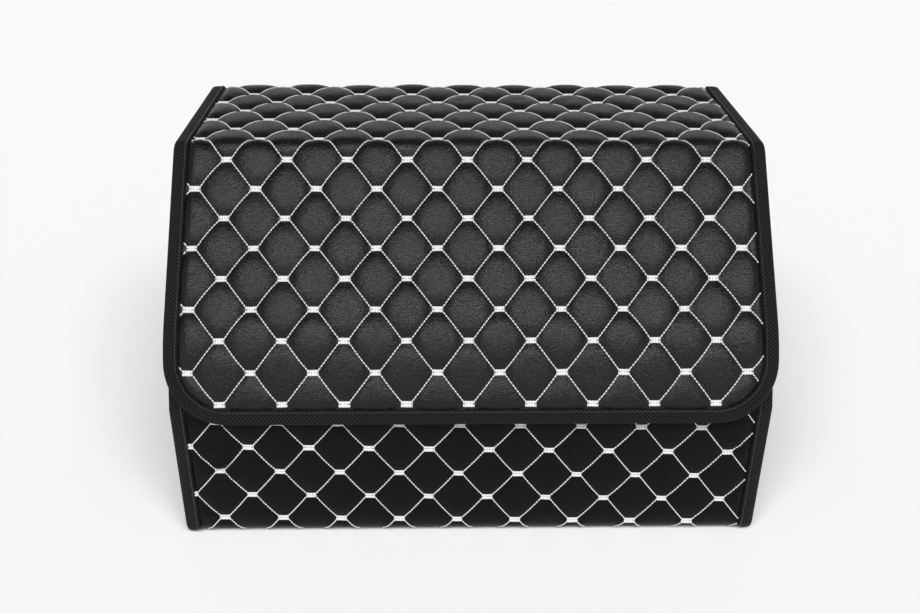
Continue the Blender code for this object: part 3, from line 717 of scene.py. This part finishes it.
def rounded_path(points, radius, step):
    """A line through flat points with round corners, in short steps."""
    points = [Vector(point) for point in points]
    dense = [points[0]]
    for before, corner, after in zip(points, points[1:], points[2:]):
        way = (corner - before).normalized()
        onward = (after - corner).normalized()
        turn = acos(max(-1.0, min(1.0, way.dot(onward))))
        if turn < 1e-3:
            dense.append(corner)
            continue
        start = corner - way * radius * tan(turn / 2)
        end = corner + onward * radius * tan(turn / 2)
        for k in range(13):
            t = k / 12
            dense.append(start.lerp(corner, t).lerp(corner.lerp(end, t), t))
    dense.append(points[-1])
    path = [dense[0]]
    for first, second in zip(dense, dense[1:]):
        count = max(1, int((second - first).length / step + 0.5))
        path += [first.lerp(second, (k + 1) / count) for k in range(count)]
    kept = [path[0]]
    for point in path[1:]:
        if (point - kept[-1]).length > 1e-5:
            kept.append(point)
    return np.array([point[:] for point in kept])


def bound(name, path, depth, put, body):
    """Runs a folded tape along a flat path, which has the panel on its left."""
    section = np.array(tape_section(depth))
    way = np.gradient(path, axis=0)
    left = np.column_stack([-way[:, 1], way[:, 0]]) / np.hypot(*way.T)[:, None]
    gone = np.concatenate([[0.0], np.cumsum(np.hypot(*np.diff(path, axis=0).T))])
    wander = 0.00018 * np.sin(gone * 95.0) + 0.00012 * np.sin(gone * 251.0 + 1.0)
    plump = 1.0 + 0.10 * np.sin(gone * 133.0 + 0.7)
    size = np.ones(len(path))
    for reach in (gone, gone[-1] - gone):
        size = np.minimum(size, 0.72 + 0.28 * np.clip(reach / 0.003, 0.0, 1.0) ** 0.5)
    count = len(section)
    inward = section[None, :, 0] * size[:, None] + wander[:, None] * (section[None, :, 0] > 0.01)
    rise = section[:, 1]
    level = rise[None, :] * np.where(rise > CLEARANCE + TAPE * 0.9, plump[:, None], 1.0)
    flat = np.stack([path[:, None, 0] + left[:, None, 0] * inward,
                     path[:, None, 1] + left[:, None, 1] * inward, level], axis=-1)
    ring = np.hypot(*np.diff(np.vstack([section, section[:1]]), axis=0).T)
    round_way = np.concatenate([[0.0], np.cumsum(ring)])
    faces = []
    for k in range(len(path) - 1):
        for m in range(count):
            n = (m + 1) % count
            faces.append((k * count + m, k * count + n, (k + 1) * count + n, (k + 1) * count + m))
    faces.append(tuple(range(count))[::-1])
    faces.append(tuple(range((len(path) - 1) * count, len(path) * count)))
    mesh = bpy.data.meshes.new(name)
    mesh.from_pydata(put(flat.reshape(-1, 3)).tolist(), [], faces)
    cut = mesh.uv_layers.new(name="cut")
    places = []
    for k in range(len(path) - 1):
        for m in range(count):
            places += [(round_way[m], gone[k]), (round_way[m + 1], gone[k]),
                       (round_way[m + 1], gone[k + 1]), (round_way[m], gone[k + 1])]
    places += [tuple(point) for point in section[::-1]] + [tuple(point) for point in section]
    cut.data.foreach_set("uv", np.array(places, np.float32).ravel())
    bm = bmesh.new()
    bm.from_mesh(mesh)
    bmesh.ops.recalc_face_normals(bm, faces=bm.faces[:])
    if bm.calc_volume(signed=True) < 0.0:
        bmesh.ops.reverse_faces(bm, faces=bm.faces[:])
    bm.to_mesh(mesh)
    bm.free()
    mesh.shade_smooth()
    mesh.set_sharp_from_angle(angle=radians(70.0))
    mesh.materials.append(twill_tape.material)
    piece = bpy.data.objects.new(name, mesh)
    bpy.context.scene.collection.objects.link(piece)
    if body:
        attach(piece, body)
    return piece


def at_level(level):
    """The height of a flat surface, for the stitches on it."""
    return lambda x, s: np.full_like(x, level)


def tape_sewing(path, from_edge, spacing=0.0030):
    """A row of black stitches along a tape, beside its inner edge."""
    way = np.gradient(path, axis=0)
    left = np.column_stack([-way[:, 1], way[:, 0]]) / np.hypot(*way.T)[:, None]
    line = path + left * from_edge
    gone = np.concatenate([[0.0], np.cumsum(np.hypot(*np.diff(line, axis=0).T))])
    marks = np.arange(spacing, gone[-1] - spacing, spacing)
    x = np.interp(marks, gone, line[:, 0])
    s = np.interp(marks, gone, line[:, 1])
    lines = [((x[k], s[k]), (x[k + 1], s[k + 1])) for k in range(len(marks) - 1)]
    return [stitches(lines, at_level(TAPE_TOP), half=BLACK_THREAD_HALF)]


def flanges(wall, low, high):
    """The tapes on both upright edges of a wall, with their sewing."""
    for side, sign in (("left", -1), ("right", 1)):
        ends = [(sign * BODY_HALF, low), (sign * BODY_HALF, high)]
        path = rounded_path(ends if sign > 0 else ends[::-1], 0.01, TAPE_STEP)
        flange = bound(wall + "_flange_tape_" + side, path, COVER, on_wrap, "bag")
        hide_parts(wall + "_binding_" + side)
        sewn(wall + "_flange_sewing_" + side, tape_sewing(path, 0.0098), on_wrap, black_thread,
             "bag")


WALL = 0.0060
INNER_HALF = 0.2282
twill_tape = tape_finish("black_twill_tape", 0.0034, 0.0032, 0.00060)
black_thread = thread_finish("black_thread", (0.030, 0.030, 0.031))
BLACK_THREAD_HALF = (0.0004, 0.0003)
TAPE_TOP = CLEARANCE + TAPE + 0.0002
TAPE_STEP = 0.003
flanges("front", 0.0, (FRONT_FOOT[0] + FRONT_FOOT[1]) / 2)
rim = rounded_path([(-INNER_HALF, 0.0), (INNER_HALF, 0.0)], 0.01, TAPE_STEP)
rim_tape = bound("front_rim_tape", rim, WALL, on_wrap, "bag")
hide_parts("front_rim_binding")


# The closure. Two soft loop strips on the front wall, and two hook strips inside the flap
# that press onto them. Each is woven nylon, sewn down all round.

STRIP_HALF = 0.050
STRIP_WIDTH = 0.018
STRIP_MIDDLE = 0.120


def strip_finish(name, coarse, height):
    """Hook or loop tape: a ground of fine ribs with a thick pile over it, with painted shade
    darkening the hollows between the pile's tufts.
    """
    finish = Finish(name, {"Specular IOR Level": 0.25, "Sheen Weight": 0.25,
                           "Sheen Roughness": 0.5})
    cut = finish.cut()
    pile = finish.cells(cut, coarse)
    fuzz = finish.noise(cut, coarse * 2.5, 3.0)
    # Painted shade: the colour is lighter on the tufts' tops and darker in the hollows between
    # them, mostly following the pile's relief.
    finish.feed("Base Color", finish.colour(pile * 0.7 + fuzz * 0.3, (0.022, 0.022, 0.023),
                                            (0.006, 0.006, 0.006)))
    finish.feed("Roughness", 0.82 + fuzz * 0.12)
    finish.relief(fuzz - pile * 1.2, height, 1.0)
    return finish


def strip(name, low, high, top, sign, finish, body):
    """A strip with its long edges a little rounded over, and a row of stitches round it."""
    middle = sign * STRIP_MIDDLE
    left, right = middle - STRIP_HALF, middle + STRIP_HALF
    outline = [(left + 0.002, low), (right - 0.002, low), (right, low + 0.002),
               (right, high - 0.002), (right - 0.002, high), (left + 0.002, high),
               (left, high - 0.002), (left, low + 0.002)]

    def crown(flat):
        edge = np.clip(distance_inside(flat, outline) / 0.0015, 0.0, 1.0)
        h = np.where(flat[:, 2] < -0.0002, flat[:, 2], -0.0005 * (1.0 - edge) ** 2)
        return np.column_stack([flat[:, :2], h + top])

    piece = made_up(name, plain_sheet(outline, 0.0015, 0.0010, []), on_wrap, finish, body,
                    lift=crown)
    inner = rectangle(left + 0.0015, right - 0.0015, low + 0.0015, high - 0.0015)
    lines = list(zip(inner, inner[1:] + inner[:1]))
    sewn(name + "_sewing", [stitches(lines, at_level(top), half=BLACK_THREAD_HALF)], on_wrap,
         black_thread, body)
    return piece


loop_pile = strip_finish("loop_pile", 1300.0, 0.0004)
for side, sign in (("left", -1), ("right", 1)):
    low = TAPE_WIDTH + CLEARANCE
    loops = strip("loop_pile_" + side, low, low + STRIP_WIDTH, 0.0013, sign, loop_pile, "bag")
    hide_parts("loop_strip_" + side)


# The back wall and the hinge. The same quilted sheet runs up the back and on over the edge
# into the lid, so the cloth itself is the hinge. It is creased flatter along the bend.

FOLD_ROW = 0.945308
REAR_SEAM = FOLD_ROW - 5 * ROW_SPACING
HINGE_MIDDLE = (BACK_TOP[0] + BACK_TOP[1]) / 2
HINGE_EDGES = [HINGE_MIDDLE - 0.0001, HINGE_MIDDLE + 0.0001]
HINGE_UNSEWN = 0.0008
LID_HALF = 0.2475
lid_cover_edge = LID_HALF - TAPE_OUT
lid_tape_inner = LID_HALF - TAPE_WIDTH
long_quilting = Quilting((-0.0030, FOLD_ROW))
back_leather = leathercloth("black_leathercloth_back", 0.34, 0.00050)
BACK_STEPS = [0.0, 0.022, 0.060, 0.120, 0.205, 0.310, 0.410]


def settle_back(flat):
    """Presses the quilting flat round the bottom edge, and creases it along the hinge."""
    x, s, h = flat.T
    foot = np.clip((s - BACK_FOOT[1] + 0.002) / 0.012, 0.0, 1.0)
    bend = 0.45 + 0.55 * np.clip(np.abs(s - HINGE_MIDDLE) / 0.015, 0.0, 1.0)
    slack = unevenness(x, s) * 0.00030 * foot * bend * np.clip(h / 0.001, 0.0, 1.0)
    return np.column_stack([x, s, np.where(h > 0.0, h * foot * bend, h) + slack])


back_outline = rectangle(-cover_edge, cover_edge, BACK_FOOT[0], REAR_SEAM)
back_puffed = rectangle(-tape_inner, tape_inner, BACK_FOOT[0] - 0.03, REAR_SEAM + 0.03)
back = made_up("back_cover",
               quilted_sheet(long_quilting, back_outline, back_puffed, PUFF, SEAM_RISE,
                             BACK_STEPS, creases_of(BACK_FOOT[0], REAR_SEAM) + HINGE_EDGES,
                             HINGE_EDGES),
               on_wrap, back_leather, None, lift=settle_back)
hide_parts("back_panel")


def hinge_line(piece):
    """Works out two places beside the middle of the hinge, which nothing uses, and bakes the
    piece's placing into its mesh."""
    start, end = on_wrap(np.array([(0.0, HINGE_MIDDLE - 0.00002, 0.0),
                                   (0.0, HINGE_MIDDLE + 0.00002, 0.0)]))
    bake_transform(piece)


def parted(lines, level):
    """Ends the stitches of the lines that cross a level there, and starts them again."""
    kept = []
    for first, last in lines:
        if (first[1] - level) * (last[1] - level) < 0.0:
            middle = first + (last - first) * ((level - first[1]) / (last[1] - first[1]))
            gap = (last - first) * (HINGE_UNSEWN / abs(last[1] - first[1]))
            kept += [(first, middle - gap), (middle + gap, last)]
        else:
            kept.append((first, last))
    return kept


hinge_line(back)
back_area = rectangle(-tape_inner, tape_inner, BACK_FOOT[0] + 0.007, REAR_SEAM + 0.0025)
lines, crossings = seam_lines(long_quilting, back_area)
on_back = seam_height(long_quilting, back_puffed, SEAM_RISE, settle_back)
back_sewing = sewn("back_sewing", [stitches(parted(lines, HINGE_MIDDLE), on_back),
                                   bars(crossings, 0.0, on_back)],
                   on_wrap, white_thread, None)
hinge_line(back_sewing)
flanges("back", BACK_FOOT[0] + 0.009, HINGE_MIDDLE - 0.0005)


# The side walls. Quilted like the back, sewn in behind the flanges at the front and back,
# and bound along the top, where the lid rests on them.

SIDE_OUTLINE = [(-0.129398, 0.0029), (0.139298, 0.0029), (0.151298, 0.0149),
                (0.151298, 0.2975), (0.147298, 0.3015), (-0.017473, 0.3015),
                (-0.113521, 0.191009), (-0.141398, 0.128396), (-0.141398, 0.0149)]
SIDE_SEAM = 0.003
SIDE_PUFF = 0.0040
SIDE_RISE = 0.0014


def inset(outline, distances):
    """Moves each edge of a convex outline inward by its own distance."""
    lines = []
    for k, point in enumerate(outline):
        way = np.subtract(outline[(k + 1) % len(outline)], point)
        way = way / np.hypot(*way)
        lines.append((np.add(point, np.array([-way[1], way[0]]) * distances[k]), way))
    while True:
        points = []
        for (a, way_a), (b, way_b) in zip(lines[-1:] + lines[:-1], lines):
            cross = way_a[0] * way_b[1] - way_a[1] * way_b[0]
            gap = b - a
            points.append(a + way_a * ((gap[0] * way_b[1] - gap[1] * way_b[0]) / cross))
        kept = [line for line, start, end in zip(lines, points, points[1:] + points[:1])
                if np.dot(end - start, line[1]) > 0.0]
        if len(kept) == len(lines):
            return [tuple(point) for point in points]
        lines = kept


def on_side(sign):
    def put(flat):
        return np.column_stack([sign * (SIDE_WALL_X + flat[:, 2]), flat[:, 0], flat[:, 1]])
    return put


def settle_side(flat):
    y, z, h = flat.T
    slack = unevenness(y + 0.4, z) * 0.00035 * np.clip(h / 0.001, 0.0, 1.0)
    return np.column_stack([y, z, h + slack])


rim_band = TAPE_WIDTH + CLEARANCE
side_cover = inset(SIDE_OUTLINE, [0.0] * 4 + [TAPE_OUT] * 3 + [0.0] * 2)
side_puffed = inset(SIDE_OUTLINE, [SIDE_SEAM] * 4 + [rim_band] * 3 + [SIDE_SEAM] * 2)
side_quilting = Quilting((0.004950, 0.1555))
side_leather = leathercloth("black_leathercloth_sides", 0.34, 0.00050)
side_lines, side_crossings = seam_lines(side_quilting, side_puffed)
on_panel = seam_height(side_quilting, side_puffed, SIDE_RISE, settle_side)
for side, sign in (("left", -1), ("right", 1)):
    wall = made_up("side_cover_" + side,
                   quilted_sheet(side_quilting, side_cover, side_puffed, SIDE_PUFF, SIDE_RISE,
                                 BACK_STEPS, []),
                   on_side(sign), side_leather, "bag", lift=settle_side)
    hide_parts("side_panel_" + side)
    sewn("side_sewing_" + side, [stitches(side_lines, on_panel),
                                 bars(side_crossings, 0.0, on_panel)],
         on_side(sign), white_thread, "bag")
    fold, bend, knee = SIDE_OUTLINE[5:8]
    down = np.subtract(knee, bend) / np.hypot(*np.subtract(knee, bend))
    start = np.add(bend, down * (bend[1] - WRAP_CORNERS[0][1] - TAPE_WIDTH / 2) / -down[1])
    path = rounded_path([(0.149398, 0.3015), fold, bend, tuple(start)], 0.008, TAPE_STEP)
    tape = bound("side_rim_tape_" + side, path, WALL, on_side(sign), "bag")
    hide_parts("side_rim_binding_" + side)


# The carrying handles. Black ribbed webbing on each side wall, both ends turned under and
# sewn down with a box of stitches, and slack enough between them for a hand.

HANDLE_HALF = 0.095
HANDLE_TAB = 0.028
HANDLE_STAND = 0.018
HANDLE_EDGE = 0.014
HANDLE_PLACE = (0.014950, 0.170)
WEBBING = 0.0018
HANDLE_WALL = 0.2408


def webbing_finish():
    """Polypropylene webbing: ribs along it, crossed by fine picks, with a painted highlight on the
    raised yarn and painted shade between.
    """
    finish = Finish("black_webbing", {"Specular IOR Level": 0.40, "Sheen Weight": 0.10})
    cut = finish.cut()
    along, across = finish.lengths(cut)
    fuzz = finish.noise(cut, 1300.0, 2.0)
    ribs = finish.number("COSINE", across * (2 * pi / 0.0035))
    picks = finish.number("COSINE", along * (2 * pi / 0.0024) + ribs * 1.4)
    yarn = finish.between(-1.1, 0.9, ribs * 0.5 + picks * 0.6 + (fuzz - 0.5) * 0.5)
    # Painted highlight and shade: the raised yarn is coloured grey and the hollows between it near
    # black.
    finish.feed("Base Color", finish.colour(yarn, (0.0020, 0.0020, 0.0021), (0.034, 0.034, 0.035)))
    finish.feed("Roughness", 0.66 - yarn * 0.18)
    finish.relief(yarn + fuzz * 0.2, 0.00070, 1.0)
    return finish


webbing = webbing_finish()


def strap_stand(y):
    """How far the strap stands off the wall at a place along it."""
    free = HANDLE_HALF - HANDLE_TAB
    inside = np.clip(1.0 - (y / free) ** 2, 0.0, 1.0)
    return HANDLE_STAND * inside ** 2


for side, sign in (("left", -1), ("right", 1)):
    bpy.ops.object.select_all(action="DESELECT")
    bpy.ops.mesh.primitive_grid_add(x_subdivisions=76, y_subdivisions=10, size=1.0)
    strap = bpy.context.object
    strap.name = "webbing_handle_" + side
    mesh = strap.data
    mesh.name = strap.name
    places = np.empty(len(mesh.vertices) * 3)
    mesh.vertices.foreach_get("co", places)
    places = places.reshape(-1, 3)
    y = places[:, 0] * 2.0 * HANDLE_HALF
    z = places[:, 1] * 2.0 * HANDLE_EDGE
    narrowed = 1.0 - 0.05 * np.clip(1.0 - (y / (HANDLE_HALF - HANDLE_TAB)) ** 2, 0.0, 1.0)
    cupped = 0.0006 * (1.0 - (z / HANDLE_EDGE) ** 2)
    x = sign * (HANDLE_WALL + strap_stand(y) + cupped)
    loops = np.empty(len(mesh.loops), np.int32)
    mesh.loops.foreach_get("vertex_index", loops)
    while mesh.uv_layers:
        mesh.uv_layers.remove(mesh.uv_layers[0])
    cut = mesh.uv_layers.new(name="cut")
    cut.data.foreach_set("uv", np.column_stack([y, z])[loops].astype(np.float32).ravel())
    placed = np.column_stack([x, y + HANDLE_PLACE[0], z * narrowed + HANDLE_PLACE[1]])
    mesh.vertices.foreach_set("co", placed.astype(np.float32).ravel())
    mesh.update()
    if sign < 0:
        bpy.ops.object.mode_set(mode="EDIT")
        bpy.ops.mesh.select_all(action="SELECT")
        bpy.ops.mesh.flip_normals()
        bpy.ops.object.mode_set(mode="OBJECT")
    thick = strap.modifiers.new("webbing", "SOLIDIFY")
    thick.thickness = WEBBING
    thick.offset = 1.0
    bpy.ops.object.modifier_apply(modifier=thick.name)
    edge = strap.modifiers.new("edge", "BEVEL")
    edge.width = 0.0005
    edge.segments = 2
    edge.limit_method = "ANGLE"
    bpy.ops.object.modifier_apply(modifier=edge.name)
    bpy.ops.object.shade_smooth_by_angle(angle=radians(50.0))
    mesh.materials.append(webbing.material)
    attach(strap, "bag")
    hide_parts("handle_" + side)

    def on_strap(flat, sign=sign):
        out = HANDLE_WALL + strap_stand(flat[:, 0]) + WEBBING + 0.0006 + flat[:, 2]
        return np.column_stack([sign * out, flat[:, 0] + HANDLE_PLACE[0],
                                flat[:, 1] + HANDLE_PLACE[1]])

    lines = []
    for end in (-1, 1):
        box = rectangle(HANDLE_HALF - HANDLE_TAB + 0.003, HANDLE_HALF - 0.003,
                        -HANDLE_EDGE + 0.003, HANDLE_EDGE - 0.003)
        box = [(end * y, z) for y, z in box]
        lines += list(zip(box, box[1:] + box[:1])) + [(box[0], box[2]), (box[1], box[3])]
    sewn("handle_sewing_" + side,
         [stitches(lines, at_level(-0.0001), half=(0.00045, 0.00035))],
         on_strap, black_thread, "bag")


# The lid and its flap. One quilted sheet from the rear seam over the front fold, down the
# slope, and out over the front wall as a lip with round corners. Full, soft diamonds.

FLAP_CORNER = 0.050
lid_leather = leathercloth("black_leathercloth_lid", 0.30, 0.00052)


def flap_outline(half, low, high, radius, steps):
    points = [(-half, low), (half, low)]
    for centre, first in ((half - radius, 0.0), (radius - half, 90.0)):
        for k in range(steps + 1):
            angle = radians(first + 90.0 * k / steps)
            points.append((centre + radius * cos(angle), high - radius + radius * sin(angle)))
    return points


def settle_lid(flat):
    x, s, h = flat.T
    slack = unevenness(x + 0.2, s) * 0.00035 * np.clip(h / 0.001, 0.0, 1.0)
    return np.column_stack([x, s, h + slack])


lid_outline = flap_outline(lid_cover_edge, REAR_SEAM, WRAP.length - TAPE_OUT,
                           FLAP_CORNER - TAPE_OUT, 10)
lid_puffed = flap_outline(lid_tape_inner, REAR_SEAM - 0.03, WRAP.length - TAPE_WIDTH,
                          FLAP_CORNER - TAPE_WIDTH, 8)
lid = made_up("lid_cover",
              quilted_sheet(long_quilting, lid_outline, lid_puffed, PUFF, SEAM_RISE, CELL_STEPS,
                            creases_of(REAR_SEAM, WRAP.length)),
              on_wrap, lid_leather, None, lift=settle_lid)
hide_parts("lid_top_cover", "flap_cover")


def fold_line(piece):
    """Works out two places at either end of the front fold, which nothing uses, and bakes the
    piece's placing into its mesh.
    """
    start, end = on_wrap(np.array([(0.0, FOLD[0] - 0.003, 0.0), (0.0, FOLD[1] + 0.003, 0.0)]))
    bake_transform(piece)


fold_line(lid)
lid_area = [(x, max(s, REAR_SEAM - 0.0025)) for x, s in lid_puffed]
lines, crossings = seam_lines(long_quilting, lid_area)
crossings = [place for place in crossings if place[1] > REAR_SEAM + 0.005]
on_lid = seam_height(long_quilting, lid_puffed, SEAM_RISE, settle_lid)
lid_sewing = sewn("lid_sewing", [stitches(lines, on_lid), bars(crossings, 0.0, on_lid)],
                  on_wrap, white_thread, None)
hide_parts("lid_top_stitching", "flap_stitching")
fold_line(lid_sewing)

lid_edge = flap_outline(LID_HALF, HINGE_MIDDLE + 0.0005, WRAP.length, FLAP_CORNER, 24)
lid_path = rounded_path(lid_edge[1:] + lid_edge[:1], 0.002, TAPE_STEP)
lid_tape = bound("lid_tape", lid_path, WALL, on_wrap, None)
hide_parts("lid_top_binding_left", "lid_top_binding_right", "flap_binding")
fold_line(lid_tape)
tape_stitches = sewn("lid_tape_sewing", tape_sewing(lid_path, 0.0100), on_wrap, black_thread,
                     None)
fold_line(tape_stitches)

hook_pile = strip_finish("hook_pile", 1000.0, 0.0005)
for side, sign in (("left", -1), ("right", 1)):
    high = WRAP.length - 0.016
    hooks = strip("hook_pile_" + side, high - STRIP_WIDTH, high, -WALL - 0.0006, sign, hook_pile,
                  "flap")
    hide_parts("hook_strip_" + side)


# The linings. Thin black cloth over the inside of every wall, glued down and caught under
# the binding. A strip of it covers the inside of the hinge, with a slack fold in the middle.

LINING = 0.0008
LINING_TOP = 0.0052


def lining_finish():
    """A plain-woven polyester cloth, dull, with a faint check of painted highlight on its raised
    threads.
    """
    finish = Finish("black_lining_cloth", {"Specular IOR Level": 0.25, "Sheen Weight": 0.12})
    cut = finish.cut()
    warp, weft = (finish.number("SINE", length * (2 * pi / 0.0011))
                  for length in finish.lengths(cut))
    fuzz = finish.noise(cut, 900.0, 2.0)
    clouds = finish.noise(cut, 22.0, 3.0)
    weave = finish.between(-1.0, 1.0, warp * weft + (fuzz - 0.5) * 0.6)
    # Partly painted highlight: lighter where the weave's threads rise, mixed with a slow random
    # tone of the cloth.
    finish.feed("Base Color", finish.colour(weave * 0.6 + clouds * 0.4, (0.016, 0.016, 0.017),
                                            (0.040, 0.040, 0.042)))
    finish.feed("Roughness", 0.78 + clouds * 0.14)
    finish.relief(weave + clouds * 2.5, 0.00025, 0.7)
    return finish


lining_cloth = lining_finish()


def lining(name, outline, put, top, body, node, cell=0.006, creases=(), inside=0.0):
    """A sheet of lining, a little uneven where the glue let go. The last length is taken off the
    outline's length, which nothing then uses."""
    def settle(flat):
        edge = np.clip(distance_inside(flat, outline) / 0.03, 0.0, 1.0)
        slack = unevenness(flat[:, 0] * 0.8, flat[:, 1] * 0.7) * 0.00010 * edge
        return np.column_stack([flat[:, :2], flat[:, 2] - top + slack])
    piece = made_up(name, plain_sheet(outline, cell, LINING, list(creases)), put, lining_cloth,
                    body, lift=settle)
    if node:
        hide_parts(*node)
    places = np.array(outline)
    width, length = places.max(axis=0) - places.min(axis=0)
    length -= inside
    return piece


FLOOR_TOP = 0.0070
front_floor = FRONT_FOOT[0] + 0.012 - FLOOR_TOP - CLEARANCE
back_floor = BACK_FOOT[1] - 0.012 + FLOOR_TOP + CLEARANCE
lining("front_lining_cloth", rectangle(-INNER_HALF, INNER_HALF, TAPE_OUT, front_floor), on_wrap,
       LINING_TOP, "bag", ["front_lining"], creases=creases_of(TAPE_OUT, front_floor))
lining("back_lining_cloth", rectangle(-INNER_HALF, INNER_HALF, back_floor, BACK_TOP[0]), on_wrap,
       LINING_TOP, "bag", ["back_lining"], creases=creases_of(back_floor, BACK_TOP[0]))
lining("base_lining_cloth", rectangle(-INNER_HALF, INNER_HALF, FRONT_FOOT[1], BACK_FOOT[0]),
       on_wrap, 0.0062, "bag", ["base_lining"])
for side, sign in (("left", -1), ("right", 1)):
    lining("side_lining_cloth_" + side, side_cover, on_side(sign), LINING_TOP, "bag",
           ["side_lining_" + side])
LID_TURNED_IN = LINING_TOP - COVER - CLEARANCE


def on_lid_inside(flat):
    """Places the lid's lining, whose rear edge is turned up over the end of the board."""
    x, s, h = flat.T
    below = h + LINING_TOP
    return on_wrap(np.column_stack([
        x, np.maximum(s, BACK_TOP[1]) + np.where(s < BACK_TOP[1] + 1e-6, below, 0.0),
        np.where(s < BACK_TOP[1] - 1e-6, BACK_TOP[1] - s - LINING_TOP, h)]))


lid_lining_outline = flap_outline(lid_cover_edge, BACK_TOP[1] - LID_TURNED_IN,
                                  WRAP.length - TAPE_OUT, FLAP_CORNER - TAPE_OUT, 10)
lid_lining = lining("lid_lining_cloth", lid_lining_outline, on_lid_inside, LINING_TOP, None,
                    ["lid_top_lining", "flap_lining"], cell=0.004,
                    creases=creases_of(BACK_TOP[1] - LID_TURNED_IN, WRAP.length) + [BACK_TOP[1]])
fold_line(lid_lining)

HINGE_GLUED = 0.018
HINGE_LINING_TOP = WALL + 0.0002
HINGE_TURN = 0.0014
HINGE_SLACK = 0.0030
HINGE_FOLD = 0.0101
hinge_ends = (BACK_TOP[1] - HINGE_TURN, BACK_TOP[0] + HINGE_TURN)


def on_inner_fold(flat):
    """Places the hinge's lining on the lid, a little deeper at the hinge than further on."""
    x, s, h = flat.T
    return on_wrap(np.column_stack([x, s, h - np.interp(s, [BACK_TOP[1], BACK_TOP[1] + 0.010],
                                                        [HINGE_SLACK, 0.0])]))


def on_slack_fold(flat):
    """Places the hinge's lining where it turns back on itself between the bag and the lid."""
    x, gone, h = flat.T
    share = gone / HINGE_FOLD
    return on_wrap(np.column_stack([x, hinge_ends[0] + share * (hinge_ends[1] - hinge_ends[0]),
                                    h - share * HINGE_SLACK]))


hinge_low = BACK_TOP[0] - HINGE_GLUED
hinge_high = BACK_TOP[1] + HINGE_GLUED
lining("hinge_lining_back", rectangle(-INNER_HALF, INNER_HALF, hinge_low, hinge_ends[0]),
       on_wrap, HINGE_LINING_TOP, "bag", [], cell=0.003,
       creases=creases_of(hinge_low, hinge_ends[0]), inside=0.0092)
lining("hinge_lining_lid", rectangle(-INNER_HALF, INNER_HALF, hinge_ends[1], hinge_high),
       on_inner_fold, HINGE_LINING_TOP, "lid", [], cell=0.003,
       creases=creases_of(hinge_ends[1], hinge_high), inside=0.0130)
hinge_fold = lining("hinge_lining_fold", rectangle(-INNER_HALF, INNER_HALF, 0.0, HINGE_FOLD),
                    on_slack_fold, HINGE_LINING_TOP, None, [], cell=0.030)
start, end = on_slack_fold(np.array([(0.0, 0.0, -WALL), (0.0, HINGE_FOLD, -WALL)]))
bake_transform(hinge_fold)


# The studio. A plain white floor that runs out of sight, white walls under a dim ceiling, three
# large soft lamps from above the front, and the camera at the photo's angle.

floor_finish = Finish("white_floor", {"Base Color": (0.95, 0.95, 0.95, 1.0), "Roughness": 0.9,
                                      "Specular IOR Level": 0.1})
bpy.ops.object.select_all(action="DESELECT")
bpy.ops.mesh.primitive_plane_add(size=40.0, location=(0.0, 0.0, -0.0004))
floor = bpy.context.object
floor.name = "floor"
bpy.ops.object.transform_apply(location=True, rotation=True, scale=True)
floor.data.materials.append(floor_finish.material)

world = bpy.data.worlds.new("studio")
world.use_nodes = True
bpy.context.scene.world = world
surround = world.node_tree.nodes["Background"]
way = world.node_tree.nodes.new("ShaderNodeTexCoord")
upward = world.node_tree.nodes.new("ShaderNodeSeparateXYZ")
dimmed = world.node_tree.nodes.new("ShaderNodeMapRange")
dimmed.interpolation_type = "SMOOTHSTEP"
for socket, value in (("From Min", 0.08), ("From Max", 0.55), ("To Min", 1.0), ("To Max", 0.10)):
    dimmed.inputs[socket].default_value = value
world.node_tree.links.new(way.outputs["Generated"], upward.inputs["Vector"])
world.node_tree.links.new(upward.outputs["Z"], dimmed.inputs["Value"])
world.node_tree.links.new(dimmed.outputs[0], surround.inputs["Color"])
surround.inputs["Strength"].default_value = 1.0

for side, azimuth, elevation, width, power in (("left", -31.0, 48.0, 24.0, 1.30),
                                               ("front", 0.0, 57.0, 22.0, 0.72),
                                               ("right", 31.0, 48.0, 24.0, 1.30)):
    window = bpy.data.lights.new("soft_window_" + side, "SUN")
    window.energy = power
    window.angle = radians(width)
    hung = bpy.data.objects.new("soft_window_" + side, window)
    hung.rotation_euler = (radians(90.0 - elevation), 0.0, radians(azimuth))
    bpy.context.scene.collection.objects.link(hung)

camera = bpy.data.cameras.new("camera")
camera.sensor_width = 36.0
camera.lens = 40.21
camera.clip_start = 0.01
camera.clip_end = 50.0
held = bpy.data.objects.new("camera", camera)
held.location = (-0.0243, -0.8431, 0.6006)
aimed = Euler((radians(90.0 - 28.35), 0.0, radians(-1.13))).to_matrix()
held.rotation_euler = (aimed @ Matrix.Rotation(radians(0.40), 3, "Z")).to_euler()
bpy.context.scene.collection.objects.link(held)
bpy.context.scene.camera = held
bpy.context.scene.view_settings.view_transform = "Standard"
